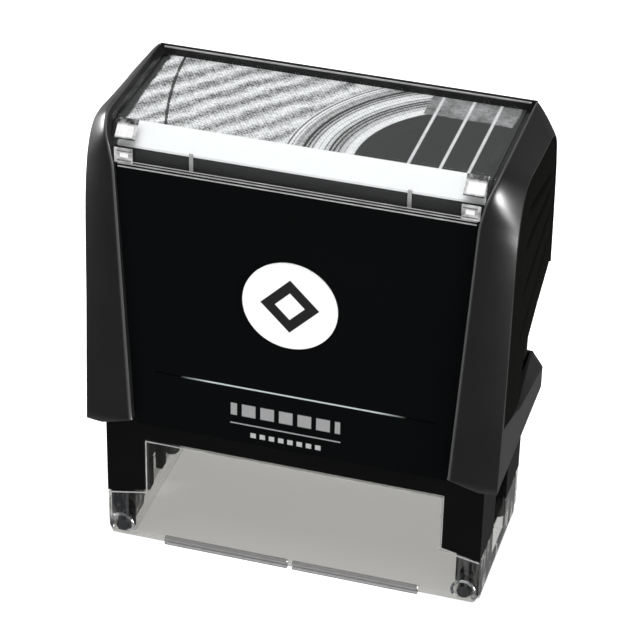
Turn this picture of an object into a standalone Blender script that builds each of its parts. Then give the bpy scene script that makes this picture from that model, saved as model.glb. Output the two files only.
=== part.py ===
"""Self inking stamp: a spring-up cap over a skirt, with a die that turns over between ink pad and paper.

The frame is +X to the right, -Y to the front and +Z up, in metres. The origin is on the paper plane,
under the middle of the object. The right half is modelled and mirrored wherever the object is symmetric.
"""

import math

import bmesh
import bpy
from mathutils import Matrix, Vector

MM = 0.001

# Driving dimensions
BASE_HALF_WIDTH = 35.0 * MM
BASE_HALF_DEPTH = 15.25 * MM
CAP_HALF_WIDTH = 37.7 * MM
CAP_HALF_DEPTH = 18.5 * MM
CAP_BOTTOM = 26.6 * MM
CAP_TOP = 87.2 * MM
STROKE = 26.0 * MM
FACE_OFFSET = 5.0 * MM
DIE_HALF_WIDTH = 28.5 * MM
DIE_HALF_DEPTH = 10.5 * MM
FIT = 0.3 * MM
PAST = 3.0 * MM

# Heights and widths that follow from them
AXIS_Z = FACE_OFFSET + STROKE
DIE_FACE_Z = AXIS_Z + FACE_OFFSET
PAD_Z = DIE_FACE_Z + 0.7 * MM
ARCH_HALF_WIDTH = 27.85 * MM
ARCH_TOP = 22.4 * MM
LEG_END_OUTER = 9.55 * MM
LEG_END_INNER = 11.0 * MM
BAY_HALF_WIDTH = 30.3 * MM
BAY_HALF_DEPTH = 13.75 * MM
SIDE_WALL = 2.0 * MM
CHANNEL_X = BAY_HALF_WIDTH + SIDE_WALL
CHANNEL_HALF_DEPTH = 4.8 * MM
CHANNEL_SILL = 2.8 * MM
SKIRT_TOP = 43.6 * MM
SKIRT_ROOF = 1.6 * MM
CAVITY_HALF_WIDTH = BASE_HALF_WIDTH + 0.4 * MM
CAVITY_HALF_DEPTH = BASE_HALF_DEPTH + 0.35 * MM
CAVITY_STEP_Z = SKIRT_TOP + STROKE + 0.4 * MM
CAVITY_UPPER_HALF_DEPTH = 13.6 * MM
CAVITY_TOP = 82.2 * MM
DECK_TOP = 84.6 * MM
PLATE_TOP = 78.2 * MM
PLATE_FRONT = -16.6 * MM
WINDOW_FRONT = -16.5 * MM
WINDOW_TOP = 86.6 * MM
CHAMFER_RISE = 99.4 * MM
CARD_FRONT = -15.0 * MM
AXLE_RADIUS = 1.5 * MM
CAM_RADIUS = 5.0 * MM
CAM_PIN_RADIUS = 1.0 * MM
LEG_OUTER_X = 34.7 * MM
LEG_INNER_X = 32.6 * MM
CROSSBAR_Z = 79.2 * MM
SPRING_X = 18.0 * MM
SPRING_RADIUS = 3.2 * MM
SPRING_WIRE = 0.4 * MM
SPRING_TURNS = 7
ROUND_SEGMENTS = 24

FINISHES = {
    "housing_black": ((0.012, 0.013, 0.013), 0.42, 1.0),
    "rail_graphite": ((0.035, 0.035, 0.036), 0.45, 1.0),
    "plate_black": ((0.004, 0.005, 0.006), 0.55, 1.0),
    "grip_rubber": ((0.009, 0.010, 0.007), 0.75, 1.0),
    "clear_plastic": ((0.86, 0.87, 0.87), 0.06, 0.3),
    "smoked_clear": ((0.55, 0.55, 0.53), 0.08, 0.5),
    "card_print": ((0.62, 0.62, 0.62), 0.60, 1.0),
    "label_white": ((0.90, 0.90, 0.90), 0.50, 1.0),
    "carrier_grey": ((0.22, 0.23, 0.24), 0.50, 1.0),
    "foam": ((0.78, 0.74, 0.62), 0.90, 1.0),
    "die_rubber": ((0.32, 0.06, 0.04), 0.70, 1.0),
    "ink_felt": ((0.01, 0.01, 0.03), 0.95, 1.0),
    "stud_rubber": ((0.02, 0.02, 0.022), 0.80, 1.0),
    "spring_steel": ((0.55, 0.55, 0.56), 0.28, 1.0),
}


def clear_scene():
    for old in list(bpy.data.objects):
        bpy.data.objects.remove(old, do_unlink=True)


def new_collection(name):
    collection = bpy.data.collections.new(name)
    bpy.context.scene.collection.children.link(collection)
    return collection


def new_material(name):
    colour, roughness, alpha = FINISHES[name]
    made = bpy.data.materials.new(name)
    made.use_nodes = True
    shader = made.node_tree.nodes["Principled BSDF"]
    shader.inputs["Base Color"].default_value = (*colour, 1.0)
    shader.inputs["Roughness"].default_value = roughness
    shader.inputs["Metallic"].default_value = 1.0 if name == "spring_steel" else 0.0
    shader.inputs["Alpha"].default_value = alpha
    return made


def new_object(name, mesh, collection):
    made = bpy.data.objects.new(name, mesh)
    collection.objects.link(made)
    return made


def box_mesh(name, low, high):
    """A block between two corners."""
    low, high = Vector(low), Vector(high)
    grid = bmesh.new()
    place = Matrix.Translation((low + high) / 2) @ Matrix.Diagonal((*(high - low), 1.0))
    bmesh.ops.create_cube(grid, size=1.0, matrix=place)
    mesh = bpy.data.meshes.new(name)
    grid.to_mesh(mesh)
    grid.free()
    return mesh


def rod_mesh(name, radius, start, end, segments=ROUND_SEGMENTS):
    """A cylinder between two points."""
    start, end = Vector(start), Vector(end)
    turn = (end - start).to_track_quat("Z", "Y").to_matrix().to_4x4()
    grid = bmesh.new()
    bmesh.ops.create_cone(
        grid,
        cap_ends=True,
        segments=segments,
        radius1=radius,
        radius2=radius,
        depth=(end - start).length,
        matrix=Matrix.Translation((start + end) / 2) @ turn,
    )
    mesh = bpy.data.meshes.new(name)
    grid.to_mesh(mesh)
    grid.free()
    return mesh


def curve_mesh(curve, turn):
    """A curve made a mesh in place, with its caps welded to its sides."""
    holder = bpy.data.objects.new(curve.name, curve)
    bpy.context.scene.collection.objects.link(holder)
    holder.matrix_world = turn
    bpy.context.view_layer.update()
    ready = holder.evaluated_get(bpy.context.evaluated_depsgraph_get())
    mesh = bpy.data.meshes.new_from_object(ready)
    mesh.transform(holder.matrix_world)
    grid = bmesh.new()
    grid.from_mesh(mesh)
    bmesh.ops.remove_doubles(grid, verts=grid.verts, dist=0.001 * MM)
    bmesh.ops.recalc_face_normals(grid, faces=grid.faces)
    grid.to_mesh(mesh)
    grid.free()
    bpy.data.objects.remove(holder, do_unlink=True)
    return mesh


def prism_mesh(name, outline, low, high, axis):
    """A closed outline carried along an axis: (x, z) along Y, (y, z) along X, (x, y) along Z."""
    turns = {
        "X": Matrix(((0, 0, 1), (1, 0, 0), (0, 1, 0))),
        "Y": Matrix(((1, 0, 0), (0, 0, -1), (0, 1, 0))),
        "Z": Matrix.Identity(3),
    }
    curve = bpy.data.curves.new(name, "CURVE")
    curve.dimensions = "2D"
    curve.fill_mode = "BOTH"
    curve.extrude = (high - low) / 2
    spline = curve.splines.new("POLY")
    spline.points.add(len(outline) - 1)
    for point, (u, v) in zip(spline.points, outline):
        point.co = (u, v, 0.0, 1.0)
    spline.use_cyclic_u = True
    middle = Vector([(low + high) / 2 if letter == axis else 0.0 for letter in "XYZ"])
    return curve_mesh(curve, Matrix.Translation(middle) @ turns[axis].to_4x4())


def arc(centre, radius, start, end, steps):
    """Points on a circle from one angle to another, in degrees."""
    angles = [math.radians(start + (end - start) * i / steps) for i in range(steps + 1)]
    return [(centre[0] + radius * math.cos(a), centre[1] + radius * math.sin(a)) for a in angles]


def mirrored(outline):
    """An outline's right half, walked up, closed by its mirror image, walked down."""
    return outline + [(-u, v) for u, v in reversed(outline)]


def finished(name, mesh, finish, collection=None):
    made = new_object(name, mesh, collection or parts)
    mesh.materials.append(materials[finish])
    return made


def boolean(piece, mesh, operation):
    """One Boolean on a piece, with the tool kept as an object of its own."""
    tool = new_object(mesh.name, mesh, cutters)
    tool.hide_render = True
    tool.display_type = "WIRE"
    modifier = piece.modifiers.new(mesh.name, "BOOLEAN")
    modifier.operation = operation
    modifier.solver = "EXACT"
    modifier.object = tool
    return tool


def cut(piece, *meshes):
    return [boolean(piece, mesh, "DIFFERENCE") for mesh in meshes]


def join(piece, *meshes):
    return [boolean(piece, mesh, "UNION") for mesh in meshes]


def keep(piece, *meshes):
    return [boolean(piece, mesh, "INTERSECT") for mesh in meshes]


def set_origin(piece, point):
    """Moves a piece's origin to a point on its joint axis, and leaves its shape in place."""
    piece.data.transform(Matrix.Translation(-Vector(point)))
    piece.location = point


def smooth(piece):
    piece.data.shade_smooth()
    piece.data.set_sharp_from_angle(angle=math.radians(35))


def rail_gap(grow=0.0, low=CAP_BOTTOM, high=CAP_TOP + PAST):
    """The right edge of the opening between the two rails, walked up: it widens with height."""
    stations = [(0.0, 28.8 * MM), (CAP_BOTTOM, 28.8 * MM), (79.0 * MM, 31.5 * MM)]
    stations += [(83.0 * MM, 32.3 * MM), (87.2 * MM, 33.8 * MM), (100.0 * MM, 33.8 * MM)]

    def at(height):
        for (z0, x0), (z1, x1) in zip(stations, stations[1:]):
            if z0 <= height <= z1:
                return x0 + (x1 - x0) * (height - z0) / (z1 - z0)
        return stations[-1][1]

    between = [z for z, _ in stations if low < z < high]
    return [(at(z) + grow, z) for z in [low, *between, high]]


def cap_front_outline():
    """The cap seen from the front: upright sides, then a bevelled shoulder up to the rails' tops."""
    right = [(CAP_HALF_WIDTH, CAP_BOTTOM), (CAP_HALF_WIDTH, 80.6 * MM)]
    right += arc((35.3 * MM, 80.6 * MM), 2.4 * MM, 0, 42, 4)[1:]
    right += [(33.9 * MM, CAP_TOP)]
    return mirrored(right)


def cap_side_outline():
    """The cap seen from the right: front at -Y, rounded over at the top, and a rear that leans in."""
    front = [(-CAP_HALF_DEPTH, CAP_BOTTOM), (-17.4 * MM, 81.7 * MM)]
    front += arc((-11.9 * MM, 81.7 * MM), 5.5 * MM, 180, 90, 6)[1:]
    rear = arc((12.8 * MM, 86.2 * MM), 1.0 * MM, 90, 15, 3)
    rear += [(15.7 * MM, 77.4 * MM), (17.0 * MM, 66.0 * MM), (17.9 * MM, 53.3 * MM)]
    rear += [(CAP_HALF_DEPTH, CAP_BOTTOM)]
    return front + rear


def cap_plan_outline():
    """The cap seen from above: a rectangle with its corners chamfered."""
    flat_half = 34.6 * MM
    side_half = 17.5 * MM
    right = [(flat_half, -CAP_HALF_DEPTH), (CAP_HALF_WIDTH, -side_half)]
    right += [(CAP_HALF_WIDTH, side_half), (flat_half, CAP_HALF_DEPTH)]
    return mirrored(right)


def notch_outline():
    """The side opening seen from the right: it is open to the rear, and bares the ink cartridge."""
    floor = 34.4 * MM
    rear = CAP_HALF_DEPTH + PAST
    return [(-3.9 * MM, floor), (rear, floor), (rear, 55.0 * MM), (17.5 * MM, 53.2 * MM), (0.7 * MM, 45.8 * MM)]


def grip_outline(inset):
    """The grip seen from the right: a field with a tongue down its front edge."""
    lower = [(-15.6, 39.0), (-4.3, 35.6), (0.0, 45.9), (16.9, 53.8)]
    upper = [(16.2, 66.0), (14.9, 77.0), (12.2, 81.6), (-7.5, 81.6), (-11.2, 80.6), (-13.6, 77.8), (-14.4, 73.0)]
    corners = [Vector((y * MM, z * MM)) for y, z in lower + upper]
    inward = []
    for before, here, after in zip(corners[-1:] + corners[:-1], corners, corners[1:] + corners[:1]):
        first, second = (here - before).normalized(), (after - here).normalized()
        normal = Vector((-first.y - second.y, first.x + second.x))
        inward.append(here + normal * inset / (1.0 + first.dot(second)))
    return [tuple(point) for point in inward]


def make_cap_shell():
    """The cap's moulding: two rails joined by sides, rear wall and deck, over the cavity for the skirt."""
    shell = finished("cap_shell", prism_mesh("cap_shell", cap_front_outline(), -0.02, 0.02, "Y"), "rail_graphite")
    keep(
        shell,
        prism_mesh("cap_side_form", cap_side_outline(), -0.04, 0.04, "X"),
        prism_mesh("cap_plan_form", cap_plan_outline(), 0.02, 0.09, "Z"),
    )
    below = CAP_BOTTOM - PAST
    cut(
        shell,
        box_mesh(
            "cap_cavity",
            (-CAVITY_HALF_WIDTH, -CAVITY_HALF_DEPTH, below),
            (CAVITY_HALF_WIDTH, CAVITY_HALF_DEPTH, CAVITY_STEP_Z),
        ),
        box_mesh(
            "cap_cavity_top",
            (-CAVITY_HALF_WIDTH, -CAVITY_UPPER_HALF_DEPTH, below),
            (CAVITY_HALF_WIDTH, CAVITY_UPPER_HALF_DEPTH, CAVITY_TOP),
        ),
        prism_mesh("cap_notch", notch_outline(), -0.04, 0.04, "X"),
        prism_mesh("plate_opening", mirrored(rail_gap(0.0, below, 78.5 * MM)), -0.025, -15.3 * MM, "Y"),
        prism_mesh("plate_pocket", mirrored(rail_gap(1.7 * MM, below, 78.5 * MM)), -16.9 * MM, -15.3 * MM, "Y"),
    )
    seat = DECK_TOP - CHAMFER_RISE + 2.9 * MM
    recess = [(-0.02, 78.45 * MM), (CARD_FRONT, 78.45 * MM), (CARD_FRONT, DECK_TOP + CARD_FRONT - seat)]
    recess += [(seat, DECK_TOP), (0.02, DECK_TOP), (0.02, 0.092), (-0.02, 0.092)]
    recess_tool = cut(shell, prism_mesh("window_recess", recess, -0.04, 0.04, "X"))[0]
    keep(recess_tool, prism_mesh("window_recess_form", mirrored(rail_gap(0.0, 0.07, 0.1)), -0.03, 0.03, "Y"))
    for side in (-1, 1):
        tag = "right" if side > 0 else "left"
        foot = [(27.5, 20.0), (34.6, 20.0), (34.6, 26.6), (27.5, 28.84)]
        foot_outline = [(side * x * MM, z * MM) for x, z in foot]
        pocket = sorted((side * 36.4 * MM, side * (CAP_HALF_WIDTH + PAST)))
        cut(
            shell,
            prism_mesh(f"rail_foot_{tag}", foot_outline, -0.025, -CAVITY_HALF_DEPTH, "Y"),
            prism_mesh(f"grip_pocket_{tag}", grip_outline(0.0), *pocket, "X"),
        )
    smooth(shell)


def make_front_plate():
    """The flat black plate clipped between the rails, its side edges behind their lips."""
    bottom, lip_start = CAP_BOTTOM + 1.6 * MM, 29.2 * MM
    right = rail_gap(-FIT, bottom, lip_start) + rail_gap(1.4 * MM, lip_start, PLATE_TOP)
    plate = prism_mesh("front_plate", mirrored(right), PLATE_FRONT, PLATE_FRONT + 1.0 * MM, "Y")
    finished("front_plate", plate, "plate_black")
    label_back = PLATE_FRONT - 0.1 * MM
    label = rod_mesh("round_label", 8.5 * MM, (0, label_back, 57 * MM), (0, label_back - 0.25 * MM, 57 * MM), 48)
    finished("round_label", label, "label_white")


def make_grips():
    """The soft grips let into the cap's sides, a hair below its surface."""
    for side in (-1, 1):
        name = "grip_pad_right" if side > 0 else "grip_pad_left"
        reach = sorted((side * 36.7 * MM, side * (CAP_HALF_WIDTH + PAST)))
        grip = finished(name, prism_mesh(name, grip_outline(FIT), *reach, "X"), "grip_rubber")
        form = [(x - math.copysign(FIT, x), z) for x, z in cap_front_outline()]
        keep(grip, prism_mesh(f"{name}_form", form, -0.03, 0.03, "Y"))


def folded_sheet(below, thickness, rear, lip=None):
    """A sheet lying under the window's outer faces, folded down over the cap's front edge, seen from the right.

    The window's top and front faces are joined by a 45 degree chamfer. A sheet with no lip ends on it.
    """
    def profile(depth):
        top, slant = WINDOW_TOP - depth, CHAMFER_RISE - math.sqrt(2.0) * depth
        if lip is None:
            return [(top - slant, top), (CARD_FRONT, CARD_FRONT + slant)]
        face = WINDOW_FRONT + depth
        return [(top - slant, top), (face, face + slant), (face, lip)]

    outer, inner = profile(below), profile(below + thickness)
    return [(rear, outer[0][1]), *outer, *reversed(inner), (rear, inner[0][1])]


def make_top_window():
    """The clear cover over the card: a sheet folded down over the cap's front edge. It lifts off."""
    outline = folded_sheet(0.0, 1.2 * MM, 13.4 * MM, 78.8 * MM)
    window = finished("top_window", prism_mesh("top_window", outline, -0.036, 0.036, "X"), "clear_plastic")
    keep(window, prism_mesh("top_window_form", mirrored(rail_gap(-FIT, 0.075, 0.09)), -0.02, 0.02, "Y"))
    smooth(window)
    card_outline = folded_sheet(1.5 * MM, 0.3 * MM, 12.0 * MM)
    card = prism_mesh("index_card", card_outline, -32.0 * MM, 32.0 * MM, "X")
    finished("index_card", card, "card_print")


def make_bow():
    """The actuating bow fixed under the deck: its legs reach down the skirt's sides and carry the axle."""
    leg_half_depth = CHANNEL_HALF_DEPTH - 0.4 * MM
    leg_end = AXIS_Z - 1.9 * MM
    bar_top = 81.8 * MM
    right = [(LEG_INNER_X, CROSSBAR_Z), (LEG_INNER_X, leg_end), (LEG_OUTER_X, leg_end), (LEG_OUTER_X, bar_top)]
    bow_mesh = prism_mesh("actuating_bow", mirrored(right), -leg_half_depth, leg_half_depth, "Y")
    bow = finished("actuating_bow", bow_mesh, "housing_black")
    for side in (-1, 1):
        tag = "right" if side > 0 else "left"
        inner, outer = side * (LEG_INNER_X - PAST), side * (LEG_OUTER_X + PAST)
        eye = rod_mesh(f"axle_eye_{tag}", AXLE_RADIUS + 0.15 * MM, (inner, 0, AXIS_Z), (outer, 0, AXIS_Z))
        mouth_low = (min(inner, outer), -1.2 * MM, leg_end - PAST)
        mouth_high = (max(inner, outer), 1.2 * MM, AXIS_Z)
        cut(bow, eye, box_mesh(f"axle_mouth_{tag}", mouth_low, mouth_high))
        post_top = (side * SPRING_X, 0, CROSSBAR_Z + 1.0 * MM)
        join(bow, rod_mesh(f"bow_post_{tag}", 2.2 * MM, (side * SPRING_X, 0, CROSSBAR_Z - 2.8 * MM), post_top))


def make_skirt():
    """The lower housing: legs and arches below, pad compartment above, and a channel down each side."""
    right = [(ARCH_HALF_WIDTH, ARCH_TOP), (ARCH_HALF_WIDTH, LEG_END_INNER)]
    right += [(BASE_HALF_WIDTH, LEG_END_OUTER), (BASE_HALF_WIDTH, SKIRT_TOP)]
    skirt_mesh = prism_mesh("skirt_frame", mirrored(right), -BASE_HALF_DEPTH, BASE_HALF_DEPTH, "Y")
    skirt = finished("skirt_frame", skirt_mesh, "housing_black")
    behind = BASE_HALF_DEPTH + PAST
    slot_half_width = BAY_HALF_WIDTH + 0.2 * MM
    cut(
        skirt,
        box_mesh(
            "bay",
            (-BAY_HALF_WIDTH, -BAY_HALF_DEPTH, -PAST),
            (BAY_HALF_WIDTH, BAY_HALF_DEPTH, SKIRT_TOP - SKIRT_ROOF),
        ),
        box_mesh("cartridge_slot", (-slot_half_width, 0.0, PAD_Z - FIT), (slot_half_width, behind, 41.8 * MM)),
        box_mesh("cartridge_groove", (-31.6 * MM, -13.5 * MM, 39.0 * MM), (31.6 * MM, behind, 40.6 * MM)),
    )
    for side in (-1, 1):
        tag = "right" if side > 0 else "left"
        cut(
            skirt,
            side_box(f"channel_{tag}", side, CHANNEL_X, 0.04, CHANNEL_HALF_DEPTH, -PAST, SKIRT_TOP + PAST),
            side_box(f"axle_slot_{tag}", side, 0.03, 0.033, AXLE_RADIUS + 0.4 * MM, -PAST, AXIS_Z + 2.0 * MM),
            cam_groove(f"cam_groove_{tag}", side),
        )
        low, high = (31.9 * MM, 7.4 * MM, 33.8 * MM), (BASE_HALF_WIDTH + PAST, 13.0 * MM, 38.4 * MM)
        ends = sorted((side * low[0], side * high[0]))
        cut(skirt, box_mesh(f"lock_pocket_{tag}", (ends[0], *low[1:]), (ends[1], *high[1:])))
        post_low = (side * SPRING_X, 0, SKIRT_TOP - 1.0 * MM)
        join(skirt, rod_mesh(f"skirt_post_{tag}", 2.2 * MM, post_low, (side * SPRING_X, 0, SKIRT_TOP + 2.8 * MM)))


def side_box(name, side, near, far, half_depth, low, high):
    """A block on one side of the middle plane, as deep before Y = 0 as behind it."""
    ends = sorted((side * near, side * far))
    return box_mesh(name, (ends[0], -half_depth, low), (ends[1], half_depth, high))


def cam_groove(name, side):
    """The curved track in the skirt's inner wall that makes the die turn half a turn over the stroke.

    Along it y = r sin(pi s / stroke) and z = axis - s - r cos(pi s / stroke), for s from 0 to the stroke.
    The outline is that path offset to both sides by the pin's radius and its clearance.
    """
    reach = CAM_PIN_RADIUS + 0.3 * MM
    steps = 20
    path, edge = [], []
    for i in range(steps + 1):
        turn = math.pi * i / steps
        path.append(Vector((CAM_RADIUS * math.sin(turn), AXIS_Z - STROKE * i / steps - CAM_RADIUS * math.cos(turn))))
        along = Vector((CAM_RADIUS * math.cos(turn), -STROKE / math.pi + CAM_RADIUS * math.sin(turn)))
        edge.append(Vector((along.y, -along.x)).normalized() * reach)
    first, last = path[0] + Vector((0, reach)), path[-1] - Vector((0, reach))
    outline = [tuple(p + e) for p, e in zip(path, edge)] + [tuple(last)]
    outline += [tuple(p - e) for p, e in reversed(list(zip(path, edge)))] + [tuple(first)]
    ends = sorted((side * (BAY_HALF_WIDTH - PAST), side * (BAY_HALF_WIDTH + 0.9 * MM)))
    return prism_mesh(name, outline, *ends, "X")


def make_foot():
    """The clear foot under the skirt: a see-through frame with a wall filling each arch."""
    gap = FIT
    right = [(BASE_HALF_WIDTH, 0.0), (BASE_HALF_WIDTH, LEG_END_OUTER - gap)]
    right += [(ARCH_HALF_WIDTH - gap, LEG_END_INNER - gap), (ARCH_HALF_WIDTH - gap, ARCH_TOP - gap)]
    foot_mesh = prism_mesh("positioning_foot", mirrored(right), -BASE_HALF_DEPTH, BASE_HALF_DEPTH, "Y")
    foot = finished("positioning_foot", foot_mesh, "smoked_clear")
    lip_low = (-24.0 * MM, -BASE_HALF_DEPTH - 0.8 * MM, 0.0)
    lip_high = (24.0 * MM, -BASE_HALF_DEPTH + 0.5 * MM, 1.6 * MM)
    join(foot, box_mesh("foot_lip", lip_low, lip_high))
    bay_low, bay_high = (-BAY_HALF_WIDTH, -BAY_HALF_DEPTH, -PAST), (BAY_HALF_WIDTH, BAY_HALF_DEPTH, 0.032)
    cut(foot, box_mesh("foot_bay", bay_low, bay_high))
    for side in (-1, 1):
        tag = "right" if side > 0 else "left"
        cut(
            foot,
            side_box(f"foot_channel_{tag}", side, CHANNEL_X, 0.04, CHANNEL_HALF_DEPTH, CHANNEL_SILL, 0.03),
            cam_groove(f"foot_cam_groove_{tag}", side),
            side_box(f"foot_axle_slot_{tag}", side, 0.03, 0.033, AXLE_RADIUS + 0.4 * MM, CHANNEL_SILL + FIT, 0.031),
        )
        for face in (-1, 1):
            end = "rear" if face > 0 else "front"
            at = (side * 32.65 * MM, face * 12.4 * MM)
            cut(foot, rod_mesh(f"stud_hole_{end}_{tag}", 1.9 * MM, (*at, -PAST), (*at, 5.3 * MM)))
            name = f"foot_stud_{end}_{tag}"
            finished(name, rod_mesh(name, 1.6 * MM, (*at, 0.0), (*at, 5.0 * MM)), "stud_rubber")


def make_lock_buttons():
    """The two catches that hold the cap still while the cartridge is changed. Each is pressed inwards."""
    for side in (-1, 1):
        name = "lock_button_right" if side > 0 else "lock_button_left"
        ends = sorted((side * 33.2 * MM, side * 35.1 * MM))
        button = box_mesh(name, (ends[0], 7.7 * MM, 34.1 * MM), (ends[1], 12.7 * MM, 38.1 * MM))
        set_origin(finished(name, button, "grip_rubber"), (side * 35.1 * MM, 10.2 * MM, 36.1 * MM))


def make_springs():
    """Two compression springs between the skirt's roof and the bow, each on its pair of posts."""
    low, high = SKIRT_TOP + FIT + SPRING_WIRE, CROSSBAR_Z - FIT - SPRING_WIRE
    steps = SPRING_TURNS * 14
    for side in (-1, 1):
        name = "return_spring_right" if side > 0 else "return_spring_left"
        curve = bpy.data.curves.new(name, "CURVE")
        curve.dimensions = "3D"
        curve.bevel_depth = SPRING_WIRE
        curve.bevel_resolution = 2
        curve.use_fill_caps = True
        spline = curve.splines.new("POLY")
        spline.points.add(steps)
        for i, point in enumerate(spline.points):
            turn = 2 * math.pi * SPRING_TURNS * i / steps
            x = side * SPRING_X + SPRING_RADIUS * math.cos(turn)
            point.co = (x, SPRING_RADIUS * math.sin(turn), low + (high - low) * i / steps, 1.0)
        finished(name, curve_mesh(curve, Matrix.Identity(4)), "spring_steel")


def make_die():
    """The die: a carrier on its axle, with a cam pin at each end, a foam layer and the rubber plate."""
    half_width, half_depth = 29.6 * MM, DIE_HALF_DEPTH - 0.1 * MM
    plate_low, plate_high = AXIS_Z - 1.2 * MM, AXIS_Z + 1.9 * MM
    carrier_mesh = box_mesh("die_carrier", (-half_width, -half_depth, plate_low), (half_width, half_depth, plate_high))
    carrier = finished("die_carrier", carrier_mesh, "carrier_grey")
    pin_z = AXIS_Z - CAM_RADIUS
    join(carrier, box_mesh("carrier_rib", (-28 * MM, -1.0 * MM, AXIS_Z - 3.4 * MM), (28 * MM, 1.0 * MM, AXIS_Z)))
    for side in (-1, 1):
        tag = "right" if side > 0 else "left"
        arm = side_box(f"cam_arm_{tag}", side, 28.7 * MM, 29.8 * MM, 2.1 * MM, pin_z - 1.6 * MM, AXIS_Z + 1.0 * MM)
        near, axle_end, pin_end = side * 29.0 * MM, side * 34.5 * MM, side * 31.0 * MM
        axle = rod_mesh(f"axle_{tag}", AXLE_RADIUS, (near, 0, AXIS_Z), (axle_end, 0, AXIS_Z))
        pin = rod_mesh(f"cam_pin_{tag}", CAM_PIN_RADIUS, (near, 0, pin_z), (pin_end, 0, pin_z), 16)
        join(carrier, arm, axle, pin)
    foam_low = AXIS_Z + 2.1 * MM
    foam_low_corner = (-DIE_HALF_WIDTH, -DIE_HALF_DEPTH + 0.2 * MM, foam_low)
    foam_high_corner = (DIE_HALF_WIDTH, DIE_HALF_DEPTH - 0.2 * MM, foam_low + 0.8 * MM)
    foam = finished("foam_layer", box_mesh("foam_layer", foam_low_corner, foam_high_corner), "foam")
    text_low = (-DIE_HALF_WIDTH, -DIE_HALF_DEPTH, foam_low + 1.0 * MM)
    text_high = (DIE_HALF_WIDTH, DIE_HALF_DEPTH, DIE_FACE_Z)
    text = finished("text_plate", box_mesh("text_plate", text_low, text_high), "die_rubber")
    for piece in (carrier, foam, text):
        set_origin(piece, (0.0, 0.0, AXIS_Z))


def make_cartridge():
    """The ink cartridge: a tray hanging by its flanges in the skirt's grooves, with the felt pad in it."""
    tray_low, tray_high = (-29.9 * MM, -13.2 * MM, PAD_Z + 0.2 * MM), (29.9 * MM, 15.1 * MM, 41.5 * MM)
    tray = finished("ink_tray", box_mesh("ink_tray", tray_low, tray_high), "housing_black")
    flange = box_mesh("tray_flange", (-31.3 * MM, -13.2 * MM, 39.3 * MM), (31.3 * MM, 13.0 * MM, 40.3 * MM))
    join(tray, flange)
    well = box_mesh("tray_well", (-29.1 * MM, -11.6 * MM, PAD_Z - PAST), (29.1 * MM, 11.6 * MM, 40.6 * MM))
    grip = box_mesh("tray_grip", (-12 * MM, 13.0 * MM, PAD_Z - PAST), (12 * MM, 14.0 * MM, 40.3 * MM))
    cut(tray, well, grip)
    pad = box_mesh("ink_pad", (-28.8 * MM, -11.3 * MM, PAD_Z), (28.8 * MM, 11.3 * MM, 40.3 * MM))
    finished("ink_pad", pad, "ink_felt")


clear_scene()
parts = new_collection("self_inking_stamp")
cutters = new_collection("cutters")
materials = {name: new_material(name) for name in FINISHES}

make_cap_shell()
make_front_plate()
make_grips()
make_top_window()
make_bow()
make_skirt()
make_foot()
make_lock_buttons()
make_springs()
make_die()
make_cartridge()
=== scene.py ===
import math

import bmesh
import bpy
import numpy as np
from mathutils import Matrix, Vector


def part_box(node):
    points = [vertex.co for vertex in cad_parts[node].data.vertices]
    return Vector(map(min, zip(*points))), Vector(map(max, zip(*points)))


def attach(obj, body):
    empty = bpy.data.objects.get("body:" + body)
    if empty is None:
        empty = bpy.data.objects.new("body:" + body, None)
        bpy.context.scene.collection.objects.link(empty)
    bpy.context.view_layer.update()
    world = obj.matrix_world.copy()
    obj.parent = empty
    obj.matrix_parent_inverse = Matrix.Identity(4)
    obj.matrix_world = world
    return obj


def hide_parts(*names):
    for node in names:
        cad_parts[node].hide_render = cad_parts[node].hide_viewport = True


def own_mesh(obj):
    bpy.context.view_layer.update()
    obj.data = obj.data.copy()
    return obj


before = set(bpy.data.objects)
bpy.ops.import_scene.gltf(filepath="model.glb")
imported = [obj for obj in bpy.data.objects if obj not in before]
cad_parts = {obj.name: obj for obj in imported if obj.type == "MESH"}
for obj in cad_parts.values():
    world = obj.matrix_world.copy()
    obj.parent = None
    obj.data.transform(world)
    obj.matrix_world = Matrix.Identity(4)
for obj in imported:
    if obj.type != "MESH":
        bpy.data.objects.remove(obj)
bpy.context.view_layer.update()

# ----------------------------------------------------------------------
# The view: a long lens from the front right, 33 degrees up, with a pale floor, one soft light above,
# and a lamp at each side that shows in reflections only.
# Only the camera sees the bright surround; the plastic mirrors a dimmer one, as in a light tent.

VIEW_AZIMUTH, VIEW_ELEVATION, VIEW_ROLL = (math.radians(a) for a in (15.729, 32.738, 1.379))
VIEW_DISTANCE, VIEW_SLIDE, VIEW_RISE = 0.47888, 0.0005455, -0.0011135
VIEW_LENS, VIEW_SENSOR = 150.88, 36.0
VIEW_CENTRE = Vector((0.0, 0.0, 0.045))

out_of_view = Vector((
    math.sin(VIEW_AZIMUTH) * math.cos(VIEW_ELEVATION),
    -math.cos(VIEW_AZIMUTH) * math.cos(VIEW_ELEVATION),
    math.sin(VIEW_ELEVATION),
))
level = Vector((math.cos(VIEW_AZIMUTH), math.sin(VIEW_AZIMUTH), 0.0))
upright = out_of_view.cross(level)
view_right = math.cos(VIEW_ROLL) * level + math.sin(VIEW_ROLL) * upright
view_up = math.cos(VIEW_ROLL) * upright - math.sin(VIEW_ROLL) * level
lens = bpy.data.cameras.new("view")
lens.lens, lens.sensor_width = VIEW_LENS, VIEW_SENSOR
lens.clip_start, lens.clip_end = 0.01, 20.0
view = bpy.data.objects.new("view", lens)
turn = Matrix((view_right, view_up, out_of_view)).transposed().to_4x4()
stand = VIEW_CENTRE + VIEW_SLIDE * view_right + VIEW_RISE * view_up + VIEW_DISTANCE * out_of_view
view.matrix_world = Matrix.Translation(stand) @ turn
bpy.context.scene.collection.objects.link(view)
bpy.context.scene.camera = view
bpy.context.scene.view_settings.view_transform = "Standard"


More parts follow.
